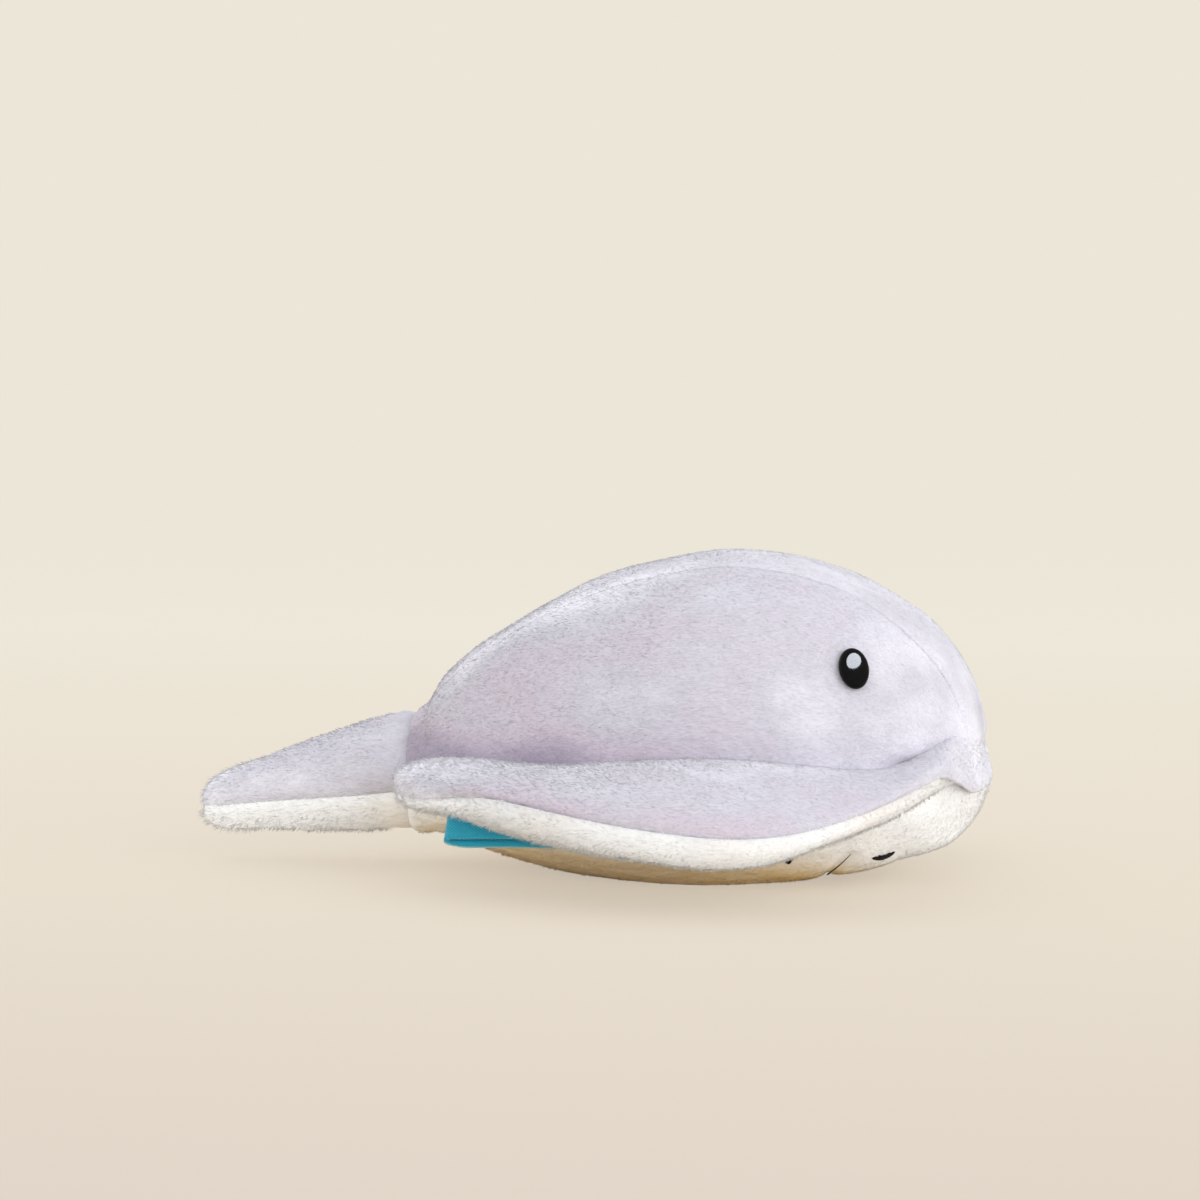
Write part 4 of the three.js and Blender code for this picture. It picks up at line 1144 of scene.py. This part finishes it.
def make_discs(top):
    places = stations(-NOSE_LAP, LOBE_END - LOBE_GAP, lambda a: disc_point(a, np.zeros_like(a)))
    inner = DISC_INNER if top else -DISC_INNER
    rows = section_rows(places, lambda a, t: disc_point(np.full_like(t, a), t), edge_turn, lambda a: inner)
    to_edge = lengths(rows, 1)
    angle = np.repeat(places[:, None], rows.shape[1], axis=1)
    facing = normals_of(rows)[: len(rows) // 2, rows.shape[1] // 2, 2].mean()
    if (facing > 0) != top:
        rows = rows[:, ::-1]
        to_edge = to_edge[:, ::-1]
    swollen = (swell(rows) + SWELL_DRAW) * ease_round(angle, *SWELL_NOSE)
    swollen -= SWELL_DRAW * ease_round(angle, *DRAW_NOSE) + NOSE_LAP_SUNK * smoothstep(angle, 0, -NOSE_LAP)
    at_nose = ease_round(angle, *AT_NOSE)
    if top:
        lean = NOSE_JUT * bump(to_edge, NOSE_JUT_WIDTH) - NOSE_LEAN * smoothstep(to_edge, *NOSE_LEAN_FROM)
        rows[..., 0] += at_nose * lean
        swollen -= CREST_DIP * bump(angle - CREST_DIP_ANGLE, CREST_DIP_WIDTH)
        degrees = np.degrees(angle)
        along_edge = layered(EDGE_BRUSH, angle=degrees, ends=degrees)
        tone_and_painted_light = along_edge * bump(to_edge - EDGE_BRUSH_AT, EDGE_BRUSH_WIDTH)
        tone_and_painted_light += layered(TOP_PALING, angle=degrees)
    else:
        swollen -= NOSE_TUCK * ease_round(angle, *NOSE_TUCK_END)
        swollen += WING_FULL * bump(angle - WING_FULL_ANGLE, WING_FULL_WIDTH)
        swollen -= LABEL_ROOM * bump(rows[..., 0] - LABEL_ROOM_X, LABEL_ROOM_WIDTH)
        tone_and_painted_light = layered(UNDER_PAINTED_LIGHT, x=rows[..., 0])
    for name, side in SIDES.items():
        mine, edge, raised, shades = mirrored_grids(side, rows, to_edge, swollen, tone_and_painted_light)
        calm = smoothstep(lengths(mine, 1)[:, -1:], *LOBE_CALM)
        height = raised + BELLY_AMOUNT * uneven(mine, STUFFING) + nap(mine)
        height -= EDGE_DIP * bump(edge, EDGE_DIP_WIDTH) * (1 - at_nose)
        lining = mine - normals_of(mine) * CLOTH * calm[..., None]
        if top:
            piece, kind, spill = "top", LAVENDER_CLOTH, 0.0
            nodes = [f"wing_top_{name}", "collar_top"]
        else:
            piece, kind, spill = "under", CREAM_CLOTH, spill_over(edge)
            nodes = [f"wing_underside_{name}", f"collar_underside_{name}"]
        make_cloth(
            f"disc_{piece}_{name}", mine, height * calm, lining, kind, nodes, on_wing(),
            shades, np.zeros(edge.shape), spill,
        )


# Tail
TAIL_BALL_START = -0.92  # how far the root's ball reaches into the body, as a share of its radius
TAIL_END = 1 - 1e-8
TAIL_ROOT_DRAW = 0.9  # the tail's round root is drawn in, to come out from under the body's rim
TAIL_BEHIND_X = (TAIL_JOINT_X, TAIL_JOINT_X - 8)
TAIL_BARE_X = (TAIL_SEAM_X - 7.5, TAIL_SEAM_X - 5)
TAIL_TIP_FULL = 0.8  # how much fuller the tip is than the solid
TAIL_CALM = (0, 3)  # nearer to the axis than this the cloth has less height, and none at the tip's end
TAIL_LINING = 0.72  # share of the way from the axis to the cloth
TAIL_SEAM_DIP = 0.5
TAIL_SEAM_DIP_WIDTH = 1.4
TAIL_BRUSH = -0.15
TAIL_SEAM_BRUSH = 0.1
TAIL_SEAM_BRUSH_WIDTH = 5
TAIL_TIP_BRUSH = -0.8
TAIL_TIP_BRUSH_X = (-109, -116)
TAIL_UNDER_BRUSH = -1.2


def tail_line(share):
    """Middle, half width and half height of the tail: share below 0 is the ball in the body's rim."""
    behind = np.maximum(0, share)
    ball = np.minimum(0, share)
    x = TAIL_JOINT_X - TAIL_LENGTH * behind - TAIL_ROOT_RADIUS * ball
    z = waist_at(TAIL_JOINT_X) - TAIL_TIP_DROP * behind
    ends = fade(behind, TAIL_TIP_ROUND) * np.sqrt(np.maximum(0, 1 - ball**2))
    half_width = (TAIL_ROOT_RADIUS + (TAIL_TIP_HALF_WIDTH - TAIL_ROOT_RADIUS) * behind) * ends
    half_height = (TAIL_ROOT_RADIUS + (TAIL_TIP_HALF_HEIGHT - TAIL_ROOT_RADIUS) * behind) * ends
    return x, z, half_width, half_height


def tail_point(share, turn):
    x, z, half_width, half_height = tail_line(share)
    y = half_width * np.cos(turn)
    return np.stack(np.broadcast_arrays(x, y, z + half_height * np.sin(turn)), axis=-1)


def tail_border(share):
    """Turn at which the tail's side seam crosses its section."""
    x, z, _, half_height = tail_line(share)
    plane = waist_at(TAIL_JOINT_X) - TAIL_CREAM_DROP + TAIL_CREAM_SLOPE * (x - TAIL_JOINT_X)
    return np.arcsin(np.clip((plane - z) / np.maximum(half_height, 1e-6), -0.98, 0.98))


def make_tail(top):
    places = stations(TAIL_BALL_START, TAIL_END, lambda s: tail_point(s, math.pi / 2))
    far = math.pi if top else -math.pi
    rows = section_rows(places, tail_point, tail_border, lambda s: far - tail_border(s))
    x, z, _, _ = tail_line(places)
    axis = np.stack([x, np.zeros_like(x), z], axis=-1)[:, None]
    rows = rows[:, :: outward_step(rows, axis)]
    edge = to_border(rows)
    behind = smoothstep(rows[..., 0], *TAIL_BEHIND_X)
    height = (swell(rows) + BELLY_AMOUNT * uneven(rows, STUFFING)) * behind + nap(rows)
    height -= TAIL_SEAM_DIP * bump(edge, TAIL_SEAM_DIP_WIDTH) + TAIL_ROOT_DRAW * (1 - behind)
    height += TAIL_TIP_FULL * to_tip(rows)
    height *= smoothstep(np.linalg.norm(rows - axis, axis=-1), *TAIL_CALM)
    lining = axis + TAIL_LINING * (rows - axis)
    bare = smoothstep(rows[..., 0], *TAIL_BARE_X)
    if top:
        tip = smoothstep(rows[..., 0], *TAIL_TIP_BRUSH_X)
        tone_and_painted_light = TAIL_SEAM_BRUSH * bump(edge, TAIL_SEAM_BRUSH_WIDTH) * (1 - tip)
        tone_and_painted_light += TAIL_BRUSH + TAIL_TIP_BRUSH * tip
        name, node, kind, spill = "tail_upper", "tail_top", LAVENDER_CLOTH, 0.0
    else:
        tone_and_painted_light = np.full(edge.shape, TAIL_UNDER_BRUSH)
        name, node, kind, spill = "tail_lower", "tail_underside", CREAM_CLOTH, spill_over(edge)
    make_cloth(name, rows, height, lining, kind, [node], riding("tail"), tone_and_painted_light, bare, spill)


# Eyes, stitches and seams
def stand_in(made, body, slot, *nodes):
    """A hard piece that stands for CAD nodes and rides on one body."""
    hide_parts(*nodes)
    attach(made, body)


EYE_CROWN = 0.5  # the bead is a shallow dome with a round shoulder
EYE_SHOULDER = 1.2
EYE_LIFT = 0.2
EYE_RINGS = 22
EYE_AROUND = 48
EYE_BACK = ((0.985, -0.35), (0.9, -0.9), (0.4, -1.2), (0.02, -1.2))  # reach and height of the rings behind


def make_eye(name, side):
    middle, across, up, out = eye_frame(side)
    share = np.sin(np.linspace(0.004, 1, EYE_RINGS) * math.pi / 2)
    dome = EYE_CROWN * (1 - share**2) + EYE_SHOULDER * (1 - share**10) ** 0.5
    profile = [*zip(share, dome), *EYE_BACK]
    turn = np.linspace(0, 2 * math.pi, EYE_AROUND, endpoint=False)[:, None]
    oval = np.cos(turn) * across * EYE_WIDTH / 2 + np.sin(turn) * up * EYE_TALL / 2
    points = [middle + oval * reach + out * (height + EYE_LIFT) for reach, height in profile]
    faces = ring_faces(len(profile), EYE_AROUND)
    made = new_object(f"bead_{name}", np.concatenate(points), faces, EYE)
    stand_in(made, "body", "eye", f"eye_{name}")


STITCH_ARCH = 1.0  # a mark's stitches rise this far out of the cloth from their buried ends
STITCH_BURIED = 0.85
STITCH_POINTS = 9
SMILE_STITCHES = 150
SMILE_THREAD = 0.13
SMILE_SUNK = 0.7 * SMILE_DENT


def long_stitches(kind, side):
    """Stitches laid side by side along a short mark, in an oval."""
    line = dash_line(kind, side)
    width, count = DASHES[kind][4:6]
    along = line[-1] - line[0]
    across = unit(np.cross(along, [0, 0, 1.0]))
    arch = STITCH_ARCH * (1 - np.linspace(-1, 1, STITCH_POINTS) ** 4) - STITCH_BURIED
    paths = []
    for place in np.linspace(-1, 1, count):
        half = math.sqrt(1 - 0.75 * place**2)
        share = np.linspace(-half, half, STITCH_POINTS)
        flat = line[len(line) // 2] + 0.5 * share[:, None] * along + 0.5 * place * width * across
        flat[:, 2] = belly_height(flat[:, 0], flat[:, 1]) - arch
        paths.append(flat)
    return paths


def cross_stitches(line, width, count):
    """Satin stitches across a long line on the belly, sunk in its dent."""
    spread = resample(line, count)
    across = unit(np.cross(np.gradient(spread, axis=0), [0, 0, 1.0]))
    narrowing = 1 - 0.6 * np.linspace(-1, 1, count) ** 4
    paths = []
    for point, way, share in zip(spread, across, narrowing):
        flat = point + 0.5 * width * share * np.linspace(-1, 1, 7)[:, None] * way
        flat[:, 2] = belly_height(flat[:, 0], flat[:, 1]) + SMILE_SUNK
        paths.append(flat)
    return paths


def make_mark(name, paths, radius, node):
    stand_in(threads_object(name, paths, radius, EMBROIDERY), "body", "embroidery", node)


def make_marks():
    for name, side in SIDES.items():
        for kind in DASHES:
            make_mark(f"{kind}_{name}", long_stitches(kind, side), DASHES[kind][6], f"{kind}_stitch_{name}")
    smile = cross_stitches(smile_line(120), SMILE_STITCH, SMILE_STITCHES)
    make_mark("smile", smile, SMILE_THREAD, "smile_stitch")


STITCH_LENGTH = 2.4
STITCH_GAP = 0.9
STITCH_SUNK = 1.7
EDGE_STITCH_SUNK = 3.4
STRIP_THREAD = 0.35
EDGE_THREAD = 0.4
STRIP_SEAM_X = (TAIL_SEAM_X + 2, APEX_X + NOSE_REACH * 0.955)
EDGE_SEAM_END = LOBE_END - 0.05
RING_SUNK = 0.6


def stitch_run(name, line, radius):
    """Short stitches along a seam line."""
    paths = []
    for start in np.arange(0, lengths(line, 0)[-1] - STITCH_LENGTH, STITCH_LENGTH + STITCH_GAP):
        paths.append(points_along(line, np.linspace(start, start + STITCH_LENGTH, 6)))
    return threads_object(name, paths, radius, THREAD)


def make_seams():
    x = np.linspace(*STRIP_SEAM_X, 160)
    turn = gusset_turn(x)
    strip = back_point(x, turn)
    strip = strip + (nose_full(strip) - STITCH_SUNK)[:, None] * back_out(x, turn)
    angle = np.linspace(0.0, EDGE_SEAM_END, 200)
    edge = disc_point(angle, edge_turn(angle))
    inside = disc_point(angle, np.full_like(angle, math.pi))
    inside[:, 2] = edge[:, 2]
    sunk = EDGE_STITCH_SUNK + NOSE_TUCK * ease_round(angle, *NOSE_TUCK_END)
    edge = edge + sunk[:, None] * unit(inside - edge)
    for name, side in SIDES.items():
        made = stitch_run(f"strip_seam_{name}", mirror(strip, side), STRIP_THREAD)
        stand_in(made, "body", "thread", f"gusset_seam_{name}")
        made = stitch_run(f"edge_seam_{name}", mirror(edge, side), EDGE_THREAD)
        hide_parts(f"wing_edge_seam_{name}", "nose_edge_seam")
        on_wing()(made)
    turn = np.linspace(0, 2 * math.pi, 120)
    radius = RIM_RADIUS - TAIL_PINCH - RING_SUNK
    z = waist_at(TAIL_SEAM_X) + radius * np.sin(turn)
    ring = np.stack([np.full_like(turn, TAIL_SEAM_X + RING_SUNK), radius * np.cos(turn), z], axis=-1)
    stand_in(stitch_run("tail_ring_seam", ring, EDGE_THREAD), "body", "thread", "tail_seam")


# Label
LABEL_BACK_DROP = 1.0  # the ribbon's back layer hangs a little lower than its front
LABEL_BACK = (0.52, 0.4)  # shares of the ribbon's length, which starts with the back layer
LABEL_BACK_PALE = (0.5, 0.48)
LABEL_WAVE = 0.25
LABEL_WAVE_LENGTH = 6.0
LABEL_WAVE_X = (0, 12)


def make_label():
    """A ribbon folded back on itself, with a round fold at its free end."""
    radius = (LABEL_LOOP + LABEL_THICKNESS) / 2
    straight = LABEL_LENGTH - radius - LABEL_THICKNESS / 2
    out = np.stack([np.linspace(0, straight, 60), np.full(60, -radius)], axis=1)
    turn = np.linspace(-math.pi / 2, math.pi / 2, 26)[1:-1]
    fold = np.stack([straight + radius * np.cos(turn), radius * np.sin(turn)], axis=1)
    path = np.concatenate([out, fold, out[::-1] * np.array([1, -1])])
    count_along = grid_count(GRID * (len(path) - 1) / 1.2)
    count_across = BACKING * 4 + 1
    flat = resample(np.concatenate([path, np.zeros((len(path), 1))], axis=1), count_along)
    rows = np.repeat(flat[:, None], count_across, axis=1)
    share = np.repeat(np.linspace(0, 1, count_along)[:, None], count_across, axis=1)
    height = np.linspace(-LABEL_WIDTH / 2, LABEL_WIDTH / 2, count_across)
    rows[..., 2] = height - LABEL_BACK_DROP * smoothstep(share, *LABEL_BACK)
    x = rows[..., 0]
    rows[..., 1] += LABEL_WAVE * np.sin(x / LABEL_WAVE_LENGTH) * smoothstep(x, *LABEL_WAVE_X)
    tilt = Matrix.Rotation(math.pi + LABEL_SPLAY, 3, "Z") @ Matrix.Rotation(LABEL_TILT, 3, "X")
    rows = rows @ np.array(tilt).T + np.array(LABEL_ORIGIN)
    half = normals_of(rows) * LABEL_THICKNESS / 2
    pale = smoothstep(share, *LABEL_BACK_PALE)
    stand_in(cloth_object("ribbon", rows + half, rows - half, LABEL, pale), "label", "label", "side_label")


make_strip()
make_belly()
make_sides()
make_discs(True)
make_discs(False)
for side_name, side_sign in SIDES.items():
    make_eye(side_name, side_sign)
make_tail(True)
make_tail(False)
make_marks()
make_seams()
make_label()

# CAD nodes inside the toy keep their solids
for node_name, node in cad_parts.items():
    if "filling" in node_name:
        hidden = FILLING
    elif "washer" in node_name:
        hidden = WASHER
    else:
        hidden = THREAD
    node.data.materials.clear()
    node.data.materials.append(hidden)


# Floor, world, lights and camera, in metres
BACKDROP_COLOUR = srgb(236, 230, 216)
FLOOR_NEAR = srgb(223, 211, 198)
FLOOR_MIDDLE = srgb(233, 222, 206)
FLOOR_Y = (-0.36, 0.74)
FLOOR_BOUNCE = srgb(246, 240, 230)
FLOOR_UNDER = srgb(255, 203, 36)  # of the floor right under the toy, behind its middle, only in the light it bounces: painted tan light in the belly's shade
FLOOR_UNDER_X = -0.012
FLOOR_UNDER_REACH = (0.045, 0.065)
FLOOR_SHOWN = 0.66  # share of the floor that the camera sees unlit, which keeps its shadow soft
FLOOR_GLOW = 0.945
FLOOR_END = (0.35, 1.6)  # the floor fades into the backdrop
FLOOR_HALF = 1800  # in millimetres
AMBIENT_COLOUR = (0.97, 0.99, 1.0, 1.0)
AMBIENT = 0.93
CATCH_LIGHT = (0.6, -0.46, 0.9)
CATCH_LIGHT_SIZE = (0.7, 0.4)
CATCH_LIGHT_POWER = 56.0
CAMERA_AZIMUTH = math.radians(10)
CAMERA_ELEVATION = math.radians(8)
CAMERA_DISTANCE = 0.79
CAMERA_LENS = 103.1
CAMERA_SENSOR = 36
AIM_RIGHT = -0.0241
AIM_UP = 0.06207


def make_floor():
    nodes = Nodes(bpy.data.materials.new("floor"))
    y = nodes.add("ShaderNodeSeparateXYZ", {0: nodes.place()}).outputs["Y"]
    stops = [(0.0, FLOOR_NEAR), (0.28, FLOOR_MIDDLE), (1.0, BACKDROP_COLOUR)]
    colour = nodes.ramp(nodes.between(y, *FLOOR_Y), stops)
    seen = nodes.seen()
    eased = {"interpolation_type": "SMOOTHSTEP"}
    away = nodes.between(nodes.distance((FLOOR_UNDER_X, 0, 0)), *FLOOR_UNDER_REACH, **eased)
    bounce = nodes.mix("MIX", away, FLOOR_UNDER, FLOOR_BOUNCE)
    nodes.set(Base_Color=nodes.mix("MIX", seen, bounce, colour), Roughness=0.9, Specular_IOR_Level=0.0)
    glow = nodes.add("ShaderNodeEmission", {"Color": colour, "Strength": FLOOR_GLOW}).outputs["Emission"]
    lit = nodes.blend(nodes.math("MULTIPLY", seen, FLOOR_SHOWN), nodes.shader.outputs["BSDF"], glow)
    clear = nodes.add("ShaderNodeBsdfTransparent", {}).outputs["BSDF"]
    end = nodes.between(nodes.distance((0, 0, 0)), *FLOOR_END, **eased)
    nodes.show("Material Output", nodes.blend(end, lit, clear))
    corners = ((-1, -1, 0), (1, -1, 0), (1, 1, 0), (-1, 1, 0))
    new_object("floor", FLOOR_HALF * np.array(corners), [(0, 1, 2, 3)], nodes.owner)


def make_world():
    world = bpy.data.worlds.new("studio")
    bpy.context.scene.world = world
    nodes = Nodes(world)
    ambient = nodes.tree.nodes["Background"]
    nodes.feed(ambient.inputs["Color"], AMBIENT_COLOUR)
    nodes.feed(ambient.inputs["Strength"], AMBIENT)
    backdrop = nodes.add("ShaderNodeBackground", {"Color": BACKDROP_COLOUR}).outputs["Background"]
    nodes.show("World Output", nodes.blend(nodes.seen(), ambient.outputs["Background"], backdrop))


def put(name, data, place, target):
    """A lamp or camera at a place, looking at a target."""
    made = bpy.data.objects.new(name, data)
    made.location = place
    made.rotation_euler = (Vector(target) - Vector(place)).to_track_quat("-Z", "Y").to_euler()
    bpy.context.scene.collection.objects.link(made)
    return made


def make_catch_light():
    """A lamp that shows only as the highlight in the eyes."""
    lamp = bpy.data.lights.new("catch light", "AREA")
    lamp.shape = "ELLIPSE"
    lamp.size, lamp.size_y = CATCH_LIGHT_SIZE
    lamp.energy = CATCH_LIGHT_POWER
    lamp.color = (0.86, 0.91, 1.0)
    target = (EYE_X * MM, -BODY_HALF_WIDTH * MM, EYE_HEIGHT * MM)
    put("catch light", lamp, CATCH_LIGHT, target).visible_diffuse = False


def make_sun(name, direction, angle, strength, colour):
    """A broad soft light from far away, too large to show as a highlight."""
    lamp = bpy.data.lights.new(name, "SUN")
    lamp.angle = math.radians(angle)
    lamp.energy = strength
    lamp.color = colour
    put(name, lamp, direction, (0, 0, 0)).visible_glossy = False


def make_camera():
    flat = math.cos(CAMERA_ELEVATION)
    ahead = math.sin(CAMERA_AZIMUTH) * flat
    back = Vector((ahead, -math.cos(CAMERA_AZIMUTH) * flat, math.sin(CAMERA_ELEVATION)))
    right = Vector((math.cos(CAMERA_AZIMUTH), math.sin(CAMERA_AZIMUTH), 0))
    camera = bpy.data.cameras.new("camera")
    camera.sensor_width = CAMERA_SENSOR
    camera.lens = CAMERA_LENS
    target = AIM_RIGHT * right + AIM_UP * back.cross(right)
    bpy.context.scene.camera = put("camera", camera, CAMERA_DISTANCE * back, target)


make_floor()
make_world()
make_sun("key", (0.88, -0.35, 0.32), 45, 0.78, (0.97, 0.99, 1.0))
make_sun("fill", (0.55, -0.83, 0.08), 60, 1.0, (0.96, 0.98, 1.0))
make_sun("rim", (-0.25, 0.6, 0.75), 60, 0.5, (0.97, 0.99, 1.0))
make_catch_light()
make_camera()
bpy.context.scene.view_settings.view_transform = "Standard"
